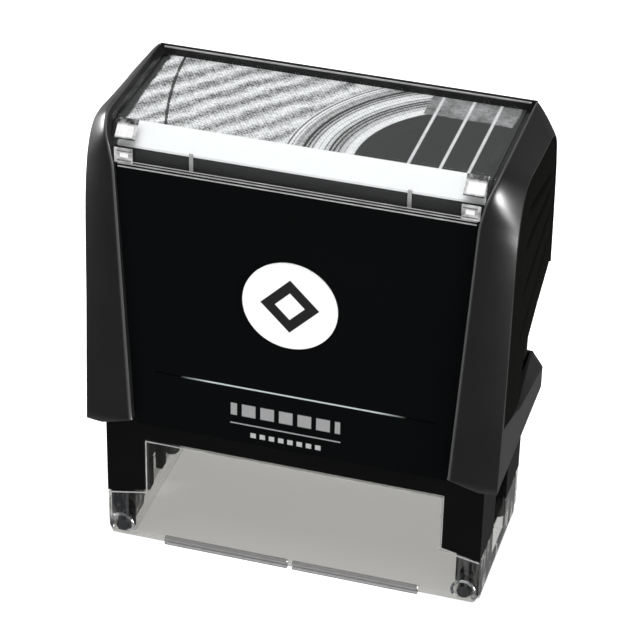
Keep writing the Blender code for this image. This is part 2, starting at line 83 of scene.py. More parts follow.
def softbox(name, place, aim, size, watts, glint=False):
    """A rectangular lamp at a place, turned to face a point. A glint lamp shows in reflections only."""
    lamp = bpy.data.lights.new(name, "AREA")
    lamp.shape = "RECTANGLE"
    lamp.size, lamp.size_y = size
    lamp.energy = watts
    holder = bpy.data.objects.new(name, lamp)
    away = Vector(place) - Vector(aim)
    holder.matrix_world = Matrix.Translation(place) @ away.to_track_quat("Z", "Y").to_matrix().to_4x4()
    holder.visible_diffuse = not glint
    bpy.context.scene.collection.objects.link(holder)


MIDDLE = (0.0, 0.0, 0.045)
softbox("softbox_above", (-0.05, -0.10, 0.85), MIDDLE, (0.7, 0.6), 5.8)
softbox("softbox_left", (-0.75, 0.20, 0.14), MIDDLE, (0.40, 0.22), 14.0, glint=True)
softbox("softbox_right", (0.78, -0.21, 0.04), MIDDLE, (0.27, 0.34), 52.0, glint=True)

surround = bpy.data.worlds.new("light_tent")
surround.use_nodes = True
tent = surround.node_tree
tent_seen, tent_lit = tent.nodes.new("ShaderNodeBackground"), tent.nodes["Background"]
for background in (tent_seen, tent_lit):
    background.inputs["Color"].default_value = (1.0, 1.0, 1.0, 1.0)
    background.inputs["Strength"].default_value = 1.0
tent_path = tent.nodes.new("ShaderNodeLightPath")
tent_dim = tent.nodes.new("ShaderNodeMix")
tent_dim.inputs[2].default_value, tent_dim.inputs[3].default_value = 0.5, 0.25
tent.links.new(tent_path.outputs["Is Glossy Ray"], tent_dim.inputs[0])
tent.links.new(tent_dim.outputs[0], tent_lit.inputs["Strength"])
tent_choice = tent.nodes.new("ShaderNodeMixShader")
tent.links.new(tent_path.outputs["Is Camera Ray"], tent_choice.inputs[0])
tent.links.new(tent_lit.outputs[0], tent_choice.inputs[1])
tent.links.new(tent_seen.outputs[0], tent_choice.inputs[2])
tent.links.new(tent_choice.outputs[0], tent.nodes["World Output"].inputs["Surface"])
bpy.context.scene.world = surround


class Wire:
    """A shader socket in a sum: each operator adds one Math node and gives its output."""

    def __init__(self, finish, socket):
        self.finish, self.socket = finish, socket

    def maths(self, operation, *others):
        return self.finish.node("Math", dict(enumerate((self, *others))), operation=operation)

    def __add__(self, other):
        return self.maths("ADD", other)

    __radd__ = __add__

    def __mul__(self, other):
        return self.maths("MULTIPLY", other)

    __rmul__ = __mul__

    def __sub__(self, other):
        return self.maths("SUBTRACT", other)

    def __rsub__(self, other):
        return self.maths("MULTIPLY", -1.0) + other

    def __abs__(self):
        return self.maths("ABSOLUTE")

    def near(self, value, within, soft=0.05):
        """1 where this is closer than within to a value, falling to 0 over a soft rim."""
        return 1.0 - (abs(self - value) - within + soft / 2).ramp(soft)

    def ramp(self, width):
        """0 below nought, 1 above width, straight between."""
        return self.finish.node("Math", {0: self, 1: 1.0 / width}, operation="MULTIPLY", use_clamp=True)


class Finish:
    """A material: its Principled shader, and one method that adds every other node."""

    def __init__(self, name, uniform=()):
        self.material = bpy.data.materials.new(name)
        self.material.use_nodes = True
        self.tree = self.material.node_tree
        self.shader = self.tree.nodes["Principled BSDF"]
        for socket, value in dict(uniform).items():
            self.join(self.shader.inputs[socket], value)

    def join(self, socket, value):
        if isinstance(value, Wire):
            self.tree.links.new(value.socket, socket)
        elif isinstance(value, tuple) and len(value) == 3 and socket.type == "RGBA":
            socket.default_value = (*value, 1.0)
        else:
            socket.default_value = value

    def node(self, kind, inputs=(), out=0, stops=(), **settings):
        """Adds a node: its settings and a ramp's stops first, then the values or links of its sockets."""
        made = self.tree.nodes.new("ShaderNode" + kind)
        for setting, value in settings.items():
            setattr(made, setting, value)
        for extra in range(len(stops) - 2):
            made.color_ramp.elements.new(0.5)
        for element, (place, colour) in zip(made.color_ramp.elements if stops else (), stops):
            element.position = place
            element.color = (*colour, 1.0)
        for socket, value in dict(inputs).items():
            self.join(made.inputs[socket], value)
        return Wire(self, made.outputs[out])

    def drive(self, socket, value):
        self.join(self.shader.inputs[socket], value)

    def shade(self, share, first, second):
        """A colour between two, by a share from 0 to 1."""
        return self.node("Mix", {0: share, 6: first, 7: second}, out=2, data_type="RGBA")

    def point(self):
        """The point on the piece, in metres."""
        return self.node("TexCoord", out="Object")

    def spot(self, axes):
        """The named ones of the point's three parts, in millimetres."""
        point = self.point()
        return [self.node("SeparateXYZ", {0: point}, out=axis) * 1000.0 for axis in axes]

    def noise(self, scale, detail=3.0, rough=0.55, squeeze=None):
        """Soft noise from 0 to 1 on the piece, its space squeezed by three factors if they are given."""
        place = self.point()
        if squeeze:
            place = self.node("VectorMath", {0: place, 1: squeeze}, operation="MULTIPLY")
        return self.node("TexNoise", {"Vector": place, "Scale": scale, "Detail": detail, "Roughness": rough})

    def relief(self, height, strength, depth_mm):
        inputs = {"Height": height, "Strength": strength, "Distance": depth_mm * 0.001}
        self.drive("Normal", self.node("Bump", inputs))


pale = Finish("pale_floor", {"Roughness": 0.9, "Specular IOR Level": 0.0})
pale.drive("Base Color", pale.shade(pale.noise(6.0), (0.93, 0.93, 0.93), (0.97, 0.97, 0.97)))
pale.drive("Emission Color", (1.0, 1.0, 1.0))
pale.drive("Emission Strength", 0.6)
floor_mesh = bpy.data.meshes.new("floor")
FLOOR_HALF = 6.0
floor_corners = [(x * FLOOR_HALF, y * FLOOR_HALF, 0.0) for x, y in ((-1, -1), (1, -1), (1, 1), (-1, 1))]
floor_mesh.from_pydata(floor_corners, [], [(0, 1, 2, 3)])
floor_mesh.materials.append(pale.material)
floor = bpy.data.objects.new("floor", floor_mesh)
bpy.context.scene.collection.objects.link(floor)
floor.visible_glossy = False

# ----------------------------------------------------------------------
# The foot: a frame moulded in clear, slightly smoky plastic, which shows where the print will land.
# It carries the skirt's legs, fills both arches with a see-through wall, and has a stud in each corner.

MM = 0.001
SIDES = ((-1, "left"), (1, "right"))
ENDS = ((-1, "front"), (1, "rear"))
HALF_WIDTH, HALF_DEPTH = 35.0, 15.25
WALL = 1.5
TOE, TOE_HEIGHT = 0.7, 1.6
LEG_OUTER_Z, LEG_INNER_Z = 9.25, 10.7
ARCH_X, ARCH_Z = 27.55, 22.1


def build(name, points, faces, finish, body, slot, *nodes, rim=0.0, steps=2, sharp=32, marks=None):
    """With a rim, a Bevel rounds every edge sharper than 30 degrees by that many millimetres. Marks give
    each point a number from 0 to 1, which the finish reads as the attribute "edge".
    """
    mesh = bpy.data.meshes.new(name)
    mesh.from_pydata((np.asarray(points, float).reshape(-1, 3) * MM).tolist(), [], faces)
    if marks is not None:
        mesh.attributes.new("edge", "FLOAT", "POINT").data.foreach_set("value", np.ravel(marks))
    shell = bmesh.new()
    shell.from_mesh(mesh)
    bmesh.ops.remove_doubles(shell, verts=shell.verts, dist=0.001 * MM)
    bmesh.ops.recalc_face_normals(shell, faces=shell.faces)
    shell.to_mesh(mesh)
    shell.free()
    mesh.materials.append(finish.material)
    piece = bpy.data.objects.new(name, mesh)
    bpy.context.scene.collection.objects.link(piece)
    finish_piece(piece, body, nodes, rim, steps, sharp)
    return piece


def finish_piece(piece, body, nodes, rim, steps=2, sharp=32):
    """Rounds a piece's rims, smooths its shading and says what it rides on and stands for."""
    piece.data.shade_smooth()
    piece.data.set_sharp_from_angle(angle=math.radians(sharp))
    if rim:
        rounding = piece.modifiers.new("rims", "BEVEL")
        rounding.width = rim * MM
        rounding.segments = steps
        rounding.limit_method = "ANGLE"
        rounding.angle_limit = math.radians(30)
        rounding.harden_normals = True
    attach(piece, body)
    if nodes:
        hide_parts(*nodes)


def quads(rows, columns, wrap=False):
    """The faces of a grid of points: point (i, j) is number i * columns + j, and j may wrap round."""
    i, j = np.meshgrid(np.arange(rows - 1), np.arange(columns if wrap else columns - 1), indexing="ij")
    after = (j + 1) % columns
    corners = (i * columns + j, i * columns + after, (i + 1) * columns + after, (i + 1) * columns + j)
    return np.stack(corners, -1).reshape(-1, 4).tolist()


def loft(stations):
    """A closed outline of k points carried through m stations, with a flat cap at each end.

    stations is an array (m, k, 3). Point j of one station is joined to point j of the next.
    """
    stations = np.asarray(stations, float)
    count, around = stations.shape[:2]
    caps = [list(range(around))[::-1], list(range((count - 1) * around, count * around))]
    return stations, quads(count, around, wrap=True) + caps


def prism(outline, low, high, axis):
    """An outline in a plane, carried straight along the axis across it from low to high.

    Along X the outline is (y, z), along Y it is (x, z) and along Z it is (x, y).
    """
    outline = np.asarray(outline, float)
    order = {"X": (2, 0, 1), "Y": (0, 2, 1), "Z": (0, 1, 2)}[axis]
    ends = [np.column_stack([outline, np.full(len(outline), end)])[:, order] for end in (low, high)]
    return loft(ends)


def block(low, high):
    """A box between two corners."""
    outline = [(low[0], low[1]), (high[0], low[1]), (high[0], high[1]), (low[0], high[1])]
    return prism(outline, low[2], high[2], "Z")


def rod(radius, start, end, around=24, swell=0.0):
    """A turned rod between two points: circles across the line, the end ones smaller by a rounded rim."""
    start, end = np.asarray(start, float), np.asarray(end, float)
    along = (end - start) / np.linalg.norm(end - start)
    side = np.cross(along, (0.0, 1.0, 0.0) if abs(along[1]) < 0.9 else (1.0, 0.0, 0.0))
    side /= np.linalg.norm(side)
    other = np.cross(along, side)
    angle = np.linspace(0.0, 2 * np.pi, around, endpoint=False)[:, None]
    ring = np.cos(angle) * side + np.sin(angle) * other
    share = np.array([0.0, swell, 1.0 - swell, 1.0]) if swell else np.array([0.0, 1.0])
    radii = np.array([0.82, 1.0, 1.0, 0.82]) * radius if swell else np.array([1.0, 1.0]) * radius
    return loft([start + (end - start) * s + ring * r for s, r in zip(share, radii)])


def clear_plastic(name, tint, gloss, most, rough, dark=None):
    """Clear plastic: each surface lets a tinted view through under a gloss that grows at grazing angles.

    The gloss is the Fresnel reflection times a share, held under a most. Where dark is 1, an inner
    reflection hides the view behind a dark, glossy streak.
    """
    finish = Finish(name, {"Metallic": 1.0})
    slow = finish.noise(90.0, 2.0)
    fine = finish.noise(900.0, 4.0)
    finish.drive("Roughness", rough + fine * 0.06)
    finish.relief(slow, 0.12, 0.25)
    through = finish.node("BsdfTransparent", {"Color": tint})
    fresnel = finish.node("Fresnel", {"IOR": 1.45})
    sheen = finish.node("Math", {0: fresnel * gloss, 1: most}, operation="MINIMUM")
    bright = finish.shade(slow, (0.80, 0.80, 0.79), (0.95, 0.95, 0.94))
    if dark:
        streak = dark(finish)
        sheen = sheen + streak * 0.85
        bright = finish.shade(streak, bright, (0.10, 0.105, 0.11))
    finish.drive("Base Color", bright)
    mixed = finish.node("MixShader", {0: sheen, 1: through, 2: Wire(finish, finish.shader.outputs[0])})
    finish.join(finish.tree.nodes["Material Output"].inputs["Surface"], mixed)
    return finish


def corner_streaks(finish):
    """Upright dark streaks in the two corners: stretched noise, kept where |x| is over 30.9 mm."""
    x, z = finish.spot("XZ")
    wave = finish.noise(620.0, 2.0, squeeze=(1.0, 1.0, 0.22))
    return ((wave - 0.42) * 6.0).ramp(1.0) * (abs(x) - 30.9).ramp(0.8) * (z - 0.7).ramp(0.3)


def side_streaks(finish):
    """Dark streaks in a side wall: stretched noise, kept to its two ends except on the right's outside."""
    x, y, z = finish.spot("XYZ")
    wave = finish.noise(480.0, 2.0, squeeze=(1.0, 1.0, 0.3))
    ends = (abs(y) + (wave - 0.5) * 12.0 - 8.5).ramp(1.0) * (z - 3.0).ramp(0.4)
    kept = finish.node("Math", {0: (x - 34.6).ramp(0.2), 1: ends}, operation="MAXIMUM")
    return ((wave - 0.30) * 6.0).ramp(1.0) * (z - 0.6).ramp(0.4) * kept


def lip_lines(finish):
    """Two dark lines along a lip, near its foot and near its top."""
    (z,) = finish.spot("Z")
    return z.near(0.15, 0.18, 0.1) * 0.6 + z.near(1.45, 0.14, 0.1) * 0.5


TINT = (0.752, 0.748, 0.735)
foot_clear = clear_plastic("smoky_clear_plastic", TINT, 0.5, 0.25, 0.06)
foot_front = clear_plastic("smoky_clear_front", TINT, 0.5, 0.25, 0.06, corner_streaks)
foot_side = clear_plastic("smoky_clear_side", (0.80, 0.797, 0.785), 0.5, 0.25, 0.06, side_streaks)
lip_clear = clear_plastic("smoky_clear_lip", (0.79, 0.79, 0.80), 0.4, 0.2, 0.12, lip_lines)
web_clear = clear_plastic("clear_web", (0.93, 0.93, 0.925), 0.3, 0.15, 0.06, side_streaks)
SLOT_FOOT = "smoked_clear"


def arch_wall():
    """The outline of a foot wall from the front: a plate that rises into the arch between two low ends."""
    right = [(HALF_WIDTH - TOE, 0.0), (HALF_WIDTH, TOE_HEIGHT), (HALF_WIDTH, LEG_OUTER_Z)]
    right += [(ARCH_X, LEG_INNER_Z), (ARCH_X, ARCH_Z)]
    return right + [(-x, z) for x, z in reversed(right)]


for face, end in ENDS:
    near, far = sorted((face * HALF_DEPTH, face * (HALF_DEPTH - WALL)))
    wall = prism(arch_wall(), near, far, "Y")
    nodes = ("positioning_foot",) if face < 0 else ()
    finish = foot_front if face < 0 else foot_clear
    build(f"foot_wall_{end}", *wall, finish, "base", SLOT_FOOT, *nodes, rim=0.35)

LIP_HALF_WIDTH, LIP_HEIGHT, LIP_REACH, LIP_NOTCH = 24.0, 1.7, 0.7, 0.45
LIP_ROOT, LIP_FACE, LIP_TOP_REACH = 0.1, 1.0, 0.35
LIP_PROFILE = [
    (-HALF_DEPTH + LIP_ROOT, 0.0),
    (-HALF_DEPTH - LIP_REACH, 0.0),
    (-HALF_DEPTH - LIP_REACH, LIP_FACE),
    (-HALF_DEPTH - LIP_TOP_REACH, LIP_HEIGHT),
    (-HALF_DEPTH + LIP_ROOT, LIP_HEIGHT),
]
for side, tag in SIDES:
    ends = sorted((side * LIP_NOTCH, side * LIP_HALF_WIDTH))
    build(f"foot_lip_{tag}", *prism(LIP_PROFILE, *ends, "X"), lip_clear, "base", SLOT_FOOT, rim=0.2)

# Each side is a thin web and a thick cheek behind it, both notched for the leg of the bow.
SIDE_INNER_X, CHANNEL_X, CHANNEL_HALF, SILL_Z = 30.3, 32.3, 4.8, 2.8
SIDE_REACH = HALF_DEPTH - WALL - 0.02
notched = [(SIDE_REACH, 0.0), (SIDE_REACH, LEG_OUTER_Z), (CHANNEL_HALF, LEG_OUTER_Z), (CHANNEL_HALF, SILL_Z)]
notched = [(-SIDE_REACH, 0.0)] + notched + [(-y, z) for y, z in notched[:0:-1]]
for side, tag in SIDES:
    web = prism(notched, *sorted((side * SIDE_INNER_X, side * CHANNEL_X)), "X")
    build(f"foot_web_{tag}", *web, web_clear, "base", SLOT_FOOT, rim=0.25)
    cheek = prism(notched, *sorted((side * (CHANNEL_X + 0.05), side * HALF_WIDTH)), "X")
    build(f"foot_cheek_{tag}", *cheek, foot_side, "base", SLOT_FOOT, rim=0.25)

# The front wall's upper edge catches the light as a hairline round the arch and under the legs.
lit_edge = Finish("lit_edge", {"Roughness": 0.4, "Specular IOR Level": 0.3})
edge_drift = lit_edge.noise(300.0)
lit_edge.drive("Base Color", lit_edge.shade(edge_drift, (0.16, 0.16, 0.16), (0.60, 0.60, 0.60)))
HAIR = 0.22
hair_end = HALF_WIDTH - 0.1
over = [(hair_end, LEG_OUTER_Z), (ARCH_X, LEG_INNER_Z), (ARCH_X, ARCH_Z)]
under = [(hair_end, LEG_OUTER_Z - HAIR), (ARCH_X - HAIR, LEG_INNER_Z - HAIR), (ARCH_X - HAIR, ARCH_Z - HAIR)]
hairline = over + [(-x, z) for x, z in reversed(over)] + [(-x, z) for x, z in under] + under[::-1]
hairline = prism(hairline, -HALF_DEPTH - 0.12, -HALF_DEPTH - 0.02, "Y")
build("foot_hairline", *hairline, lit_edge, "base", SLOT_FOOT)

# Each corner stud is a dark rubber plug in a round boss, which shows through the clear wall.
# The boss is drawn opaque, and its colour is painted glints on dark.
stud_rubber = Finish("stud_rubber", {"Specular IOR Level": 0.3})
stud_grain = stud_rubber.noise(700.0)
stud_rubber.drive("Base Color", stud_rubber.shade(stud_grain, (0.008, 0.009, 0.010), (0.03, 0.032, 0.035)))
stud_rubber.drive("Roughness", 0.55 + stud_grain * 0.3)
boss_clear = Finish("boss_clear", {"Specular IOR Level": 1.0, "Roughness": 0.12})
boss_glints = boss_clear.noise(620.0, 3.0, 0.7)
boss_clear.drive("Base Color", boss_clear.node(
    "ValToRGB", {0: boss_glints}, stops=((0.42, (0.03, 0.032, 0.035)), (0.78, (0.55, 0.56, 0.58)))))
STUD_X, STUD_Y, STUD_RADIUS, STUD_TOP = 32.3, 12.4, 1.5, 5.0
PIN_RADIUS, PIN_Z = 1.25, 2.1
HOOP_RADIUS, HOOP_WIRE, HOOP_Z = 2.1, 0.28, 2.5


def hoop(middle_x, middle_y):
    """The boss's raised rim: a ring of radius HOOP_WIRE carried along a bit more than half a circle.

    At the turn a along the circle and b round the ring, x = middle + cos(a) r and z = HOOP_Z + sin(a) r,
    with r = HOOP_RADIUS + HOOP_WIRE cos(b), and y = middle + HOOP_WIRE sin(b).
    """
    arch_turn, ring_turn = np.linspace(-0.5, np.pi + 0.5, 25), np.linspace(0.0, 2 * np.pi, 13)[:-1]
    a, b = np.meshgrid(arch_turn, ring_turn, indexing="ij")
    reach = HOOP_RADIUS + HOOP_WIRE * np.cos(b)
    x, y = middle_x + np.cos(a) * reach, middle_y + HOOP_WIRE * np.sin(b)
    return loft(np.stack([x, y, HOOP_Z + np.sin(a) * reach], -1))


for side, tag in SIDES:
    for face, end in ENDS:
        place = (side * STUD_X, face * STUD_Y)
        plug = rod(STUD_RADIUS, (*place, 0.05), (*place, STUD_TOP), swell=0.08)
        build(f"corner_stud_{end}_{tag}", *plug, stud_rubber, "base", "stud_rubber", f"foot_stud_{end}_{tag}")
        inner, outer = face * (HALF_DEPTH - WALL - 0.1), face * (HALF_DEPTH + 0.05)
        pin = rod(PIN_RADIUS, (place[0], inner, PIN_Z), (place[0], outer, PIN_Z), 20)
        build(f"boss_pin_{end}_{tag}", *pin, stud_rubber, "base", "stud_rubber", rim=0.1)
        boss = hoop(place[0], face * (HALF_DEPTH + 0.1))
        build(f"boss_{end}_{tag}", *boss, boss_clear, "base", SLOT_FOOT)

# ----------------------------------------------------------------------
# The skirt: the lower housing in fine-grained black plastic. It stands on the foot, holds the pad
# over the die, and guides the cap. Its CAD form is kept, with the rims rounded as a mould leaves them.


def moulded(name, dark, light, rough, level, grain_mm=0.30, depth_mm=0.010, strength=0.35):
    """Injection-moulded plastic: a spark-eroded grain as relief, and a slow drift of shade and gloss."""
    finish = Finish(name, {"Specular IOR Level": level})
    grain = finish.noise(1000.0 / grain_mm, 2.0, 0.6)
    drift = finish.noise(70.0, 4.0)
    finish.drive("Base Color", finish.shade(drift * 0.7 + grain * 0.3, dark, light))
    finish.drive("Roughness", rough - 0.05 + drift * 0.10 + (grain - 0.5) * 0.08)
    finish.relief(grain, strength, depth_mm)
    return finish


def rounded_copy(node, name, finish, body, rim, steps=2):
    """A CAD node's shape with its loose triangles merged, flat faces made whole and rims rounded."""
    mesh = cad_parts[node].data.copy()
    mesh.name = name
    if "sharp_edge" in mesh.attributes:
        mesh.attributes.remove(mesh.attributes["sharp_edge"])
    shell = bmesh.new()
    shell.from_mesh(mesh)
    bmesh.ops.remove_doubles(shell, verts=shell.verts, dist=0.002 * MM)
    bmesh.ops.dissolve_limit(shell, angle_limit=math.radians(0.5), verts=shell.verts, edges=shell.edges)
    bmesh.ops.recalc_face_normals(shell, faces=shell.faces)
    shell.to_mesh(mesh)
    shell.free()
    mesh.materials.clear()
    mesh.materials.append(finish.material)
    piece = bpy.data.objects.new(name, mesh)
    bpy.context.scene.collection.objects.link(piece)
    finish_piece(piece, body, (node,), rim, steps)
    return piece


skirt_black = moulded("skirt_black", (0.0012, 0.0014, 0.0014), (0.0034, 0.0036, 0.0034), 0.50, 0.07)
rounded_copy("skirt_frame", "skirt", skirt_black, "base", 0.18)
# Inside each leg two shoes fill the channel's ends, and two guards stand beside the bow's leg.
SHOE_X, SHOE_Y, SHOE_TOP = (32.36, 33.2), (5.1, 12.6), 11.5
GUARD_X, GUARD_Y, GUARD_TOP = (30.7, 32.1), (2.3, 4.7), 9.3
LEG_FOOT_Z = 2.9
for side, tag in SIDES:
    for face, end in ENDS:
        for part, xs, ys, top in (("shoe", SHOE_X, SHOE_Y, SHOE_TOP), ("guard", GUARD_X, GUARD_Y, GUARD_TOP)):
            (left, right), (near, far) = sorted(side * x for x in xs), sorted(face * y for y in ys)
            bar = block((left, near, LEG_FOOT_Z), (right, far, top))
            build(f"skirt_{part}_{end}_{tag}", *bar, skirt_black, "base", "housing_black", rim=0.2)

# ----------------------------------------------------------------------
# The die: a moulded grey carrier that turns on its axle, a sheet of foam stuck on it, and on that the
# rubber plate that prints. The rubber is laser-cut, with a fine pitted field and a thin raised border.

carrier_grey = moulded("carrier_grey", (0.17, 0.175, 0.18), (0.24, 0.245, 0.25), 0.45, 0.4)
rounded_copy("die_carrier", "die_carrier_moulding", carrier_grey, "die", 0.15)

foam = Finish("cream_foam", {"Roughness": 0.95, "Specular IOR Level": 0.1})
cells = foam.node("TexVoronoi", {"Vector": foam.point(), "Scale": 2200.0})
foam.drive("Base Color", foam.shade(cells, (0.62, 0.57, 0.44), (0.86, 0.82, 0.70)))
foam.relief(cells, 0.6, 0.08)


def node_box(node):
    """The lowest and highest corners of a CAD node, in millimetres."""
    return [np.array(corner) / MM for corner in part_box(node)]


build("foam_sheet", *block(*node_box("foam_layer")), foam, "die", "foam", "foam_layer", rim=0.12)

rubber = Finish("engraved_rubber", {"Specular IOR Level": 0.25})
rubber_x, rubber_y = rubber.spot("XY")
pits = rubber.noise(2600.0, 2.0)
border = rubber_x.near(0.0, 27.4, 0.1) * rubber_y.near(0.0, 9.4, 0.1)
border = border * (1.0 - rubber_x.near(0.0, 26.8, 0.1) * rubber_y.near(0.0, 8.8, 0.1))
ink_stain = rubber.noise(260.0, 4.0)
stain = ink_stain * 0.8 + border * 0.2
rubber.drive("Base Color", rubber.shade(stain, (0.17, 0.035, 0.028), (0.09, 0.02, 0.02)))
rubber.drive("Roughness", 0.6 + pits * 0.25)
rubber.relief(border * 0.8 + pits * 0.2, 0.7, 0.25)
build("printing_rubber", *block(*node_box("text_plate")), rubber, "die", "die_rubber", "text_plate", rim=0.15)

# ----------------------------------------------------------------------
# The ink cartridge: a black tray that hangs by its flanges in the skirt's grooves, felt side down,
# and slides out to the rear. The felt pad is soaked with black ink and has a wet sheen in patches.

rounded_copy("ink_tray", "cartridge_tray", skirt_black, "cartridge", 0.2)
felt = Finish("inked_felt", {"Specular IOR Level": 0.3})
fibres = felt.node("TexWave", {"Vector": felt.point(), "Scale": 420.0, "Distortion": 9.0, "Detail": 4.0})
wet = felt.noise(160.0, 3.0)
felt.drive("Base Color", felt.shade(fibres, (0.004, 0.004, 0.010), (0.018, 0.018, 0.034)))
felt.drive("Roughness", 0.95 - wet * 0.5)
felt.relief(fibres, 0.8, 0.15)
build("felt_pad", *block(*node_box("ink_pad")), felt, "cartridge", "ink_felt", "ink_pad", rim=0.3)

# ----------------------------------------------------------------------
# The lock buttons: a small catch in each side of the skirt, pressed in with a fingertip. Three raised
# ribs across each one give grip.

button_black = moulded("button_black", (0.012, 0.012, 0.011), (0.022, 0.022, 0.020), 0.55, 0.3)
BUTTON_RIBS, RIB_HALF, RIB_HEIGHT, RIB_END = 3, 0.35, 0.35, 0.5
for side, tag in SIDES:
    low, high = node_box(f"lock_button_{tag}")
    lock = f"lock_{tag}"
    inner, outer = (low[0], high[0] - RIB_HEIGHT) if side > 0 else (low[0] + RIB_HEIGHT, high[0])
    body = block((inner, low[1], low[2]), (outer, high[1], high[2]))
    build(f"lock_catch_{tag}", *body, button_black, lock, "grip_rubber", f"lock_button_{tag}", rim=0.3)
    for rib in range(BUTTON_RIBS):
        middle = low[1] + (rib + 1) * (high[1] - low[1]) / (BUTTON_RIBS + 1)
        left, right = (outer - 0.1, high[0]) if side > 0 else (low[0], inner + 0.1)
        near, far = middle - RIB_HALF, middle + RIB_HALF
        bar = block((left, near, low[2] + RIB_END), (right, far, high[2] - RIB_END))
        build(f"lock_rib_{rib}_{tag}", *bar, button_black, lock, "grip_rubber", rim=0.15)

# ----------------------------------------------------------------------
# The bow: the black frame under the cap's deck whose two legs carry the die's axle. Two springs of
# bright steel wire, their end turns closed up, stand between it and the skirt's roof.

rounded_copy("actuating_bow", "bow", skirt_black, "cap", 0.2)
wire_steel = Finish("spring_wire", {"Metallic": 1.0})
drawn = wire_steel.noise(1500.0, 2.0)
wire_steel.drive("Base Color", wire_steel.shade(drawn, (0.42, 0.42, 0.43), (0.62, 0.62, 0.63)))
wire_steel.drive("Roughness", 0.2 + drawn * 0.15)
SPRING_X, COIL_RADIUS, WIRE_RADIUS, COIL_TURNS = 18.0, 3.2, 0.4, 9.0
SPRING_LOW, SPRING_HIGH, SPRING_KEEP = 44.3, 78.5, 0.26


def coil(middle_x, low, high, turns, steps=360, around=10):
    """Wire of a round section along a helix that closes up at both ends.

    At a share s of the wire the height is low + (high - low) h(s), where h is flatter near 0 and 1 so
    that the end turns lie together. The ring of the section stands across the helix's tangent.
    """
    share = np.linspace(0.0, 1.0, steps)
    rise = np.interp(share, (0.0, 0.11, 0.89, 1.0), (0.0, 0.026, 0.974, 1.0))
    angle = 2 * np.pi * turns * share
    x, y = middle_x + COIL_RADIUS * np.cos(angle), COIL_RADIUS * np.sin(angle)
    line = np.column_stack([x, y, low + (high - low) * rise])
    along = np.gradient(line, axis=0)
    along /= np.linalg.norm(along, axis=1, keepdims=True)
    outward = np.column_stack([np.cos(angle), np.sin(angle), np.zeros(steps)])
    across = np.cross(along, outward)
    ring = np.linspace(0.0, 2 * np.pi, around, endpoint=False)[None, :, None]
    section = np.cos(ring) * outward[:, None] + np.sin(ring) * across[:, None]
    return loft(line[:, None] + WIRE_RADIUS * section)


for side, tag in SIDES:
    wire = coil(side * SPRING_X, SPRING_LOW, SPRING_HIGH, COIL_TURNS)
    spring = build(f"spring_{tag}", *wire, wire_steel, "base", "spring_steel", f"return_spring_{tag}")
    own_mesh(spring)

# ----------------------------------------------------------------------
# The cap's rails: two bars of satin graphite plastic that run up the front, over the shoulder and
# down the rear. They and the walls below are one moulding; a painted highlight runs along the edges of the
# opening.

RAIL_DARK, RAIL_LIGHT = (0.0070, 0.0070, 0.0072), (0.0115, 0.0115, 0.0118)
rail_satin = moulded("graphite_satin", RAIL_DARK, RAIL_LIGHT, 0.36, 0.22, 0.25, 0.006, 0.25)
# The marked rims are painted lighter than the plastic: a painted highlight.
rail_edge_highlight = rail_satin.node("Attribute", attribute_name="edge", out="Fac")
rail_tone = Wire(rail_satin, rail_satin.shader.inputs["Base Color"].links[0].from_socket)
rail_satin.drive("Base Color", rail_satin.shade(rail_edge_highlight * rail_edge_highlight * 0.4, rail_tone, (0.16, 0.16, 0.16)))
SLOT_CAP = "rail_graphite"
CAP_HALF, CAP_LOW, CAP_HIGH = 37.7, 26.6, 87.2
GAP_HEIGHTS = (0.0, 26.6, 79.0, 83.0, 87.2, 100.0)
GAP_HALVES = (28.8, 28.8, 31.5, 32.3, 33.8, 33.8)


def gap_half(height):
    """Half the width of the opening between the rails: it widens with height, faster over the shoulder."""
    return np.interp(height, GAP_HEIGHTS, GAP_HALVES)


# Rows along a rail, from its foot up the front, over the top and down the rear: the crest beside the
# opening, the cap's side edge and the grip's edge, each (y, z), then the bevel's hollow and thickness.
RAIL_ROWS = np.array([
    (-18.50, 26.60, -17.75, 26.6, -15.60, 26.60, 2.20, 1.6),
    (-18.26, 38.50, -17.00, 38.5, -15.60, 38.50, 2.20, 1.6),
    (-18.03, 50.00, -16.20, 50.4, -15.35, 50.00, 2.00, 1.6),
    (-17.80, 61.50, -15.65, 62.0, -15.05, 61.50, 2.00, 1.6),
    (-17.60, 71.50, -15.05, 71.0, -14.80, 70.90, 1.90, 1.6),
    (-17.42, 79.50, -14.25, 76.0, -14.00, 75.85, 1.70, 1.7),
    (-17.07, 83.58, -13.30, 79.2, -13.05, 79.00, 1.50, 1.8),
    (-15.79, 85.59, -11.80, 81.8, -11.60, 81.50, 1.35, 2.0),
    (-13.78, 86.87, -9.90, 83.3, -9.75, 83.00, 1.25, 2.2),
    (-11.90, 87.20, -7.80, 83.7, -7.70, 83.40, 1.20, 2.4),
    (-6.00, 87.20, -3.40, 83.5, -3.35, 83.20, 1.15, 2.2),
    (0.00, 87.20, 1.00, 83.2, 1.00, 82.90, 1.10, 2.2),
    (7.00, 87.20, 6.60, 82.9, 6.55, 82.60, 1.10, 2.2),
    (12.00, 87.20, 10.30, 82.7, 10.20, 82.40, 1.10, 2.0),
    (13.30, 86.95, 11.80, 82.3, 11.60, 82.00, 1.20, 1.6),
    (13.85, 86.35, 12.90, 81.3, 12.70, 81.00, 1.30, 1.4),
    (15.70, 77.40, 15.20, 76.2, 15.00, 76.10, 1.80, 1.2),
    (17.00, 66.00, 16.50, 65.6, 16.30, 65.50, 2.20, 1.2),
    (17.90, 53.40, 17.30, 53.5, 17.10, 53.60, 2.40, 1.5),
])
RAIL_WALL = 35.4


def run_length(line):
    """How far along a line of points each point lies."""
    return np.concatenate([[0.0], np.cumsum(np.linalg.norm(np.diff(line, axis=0), axis=1))])


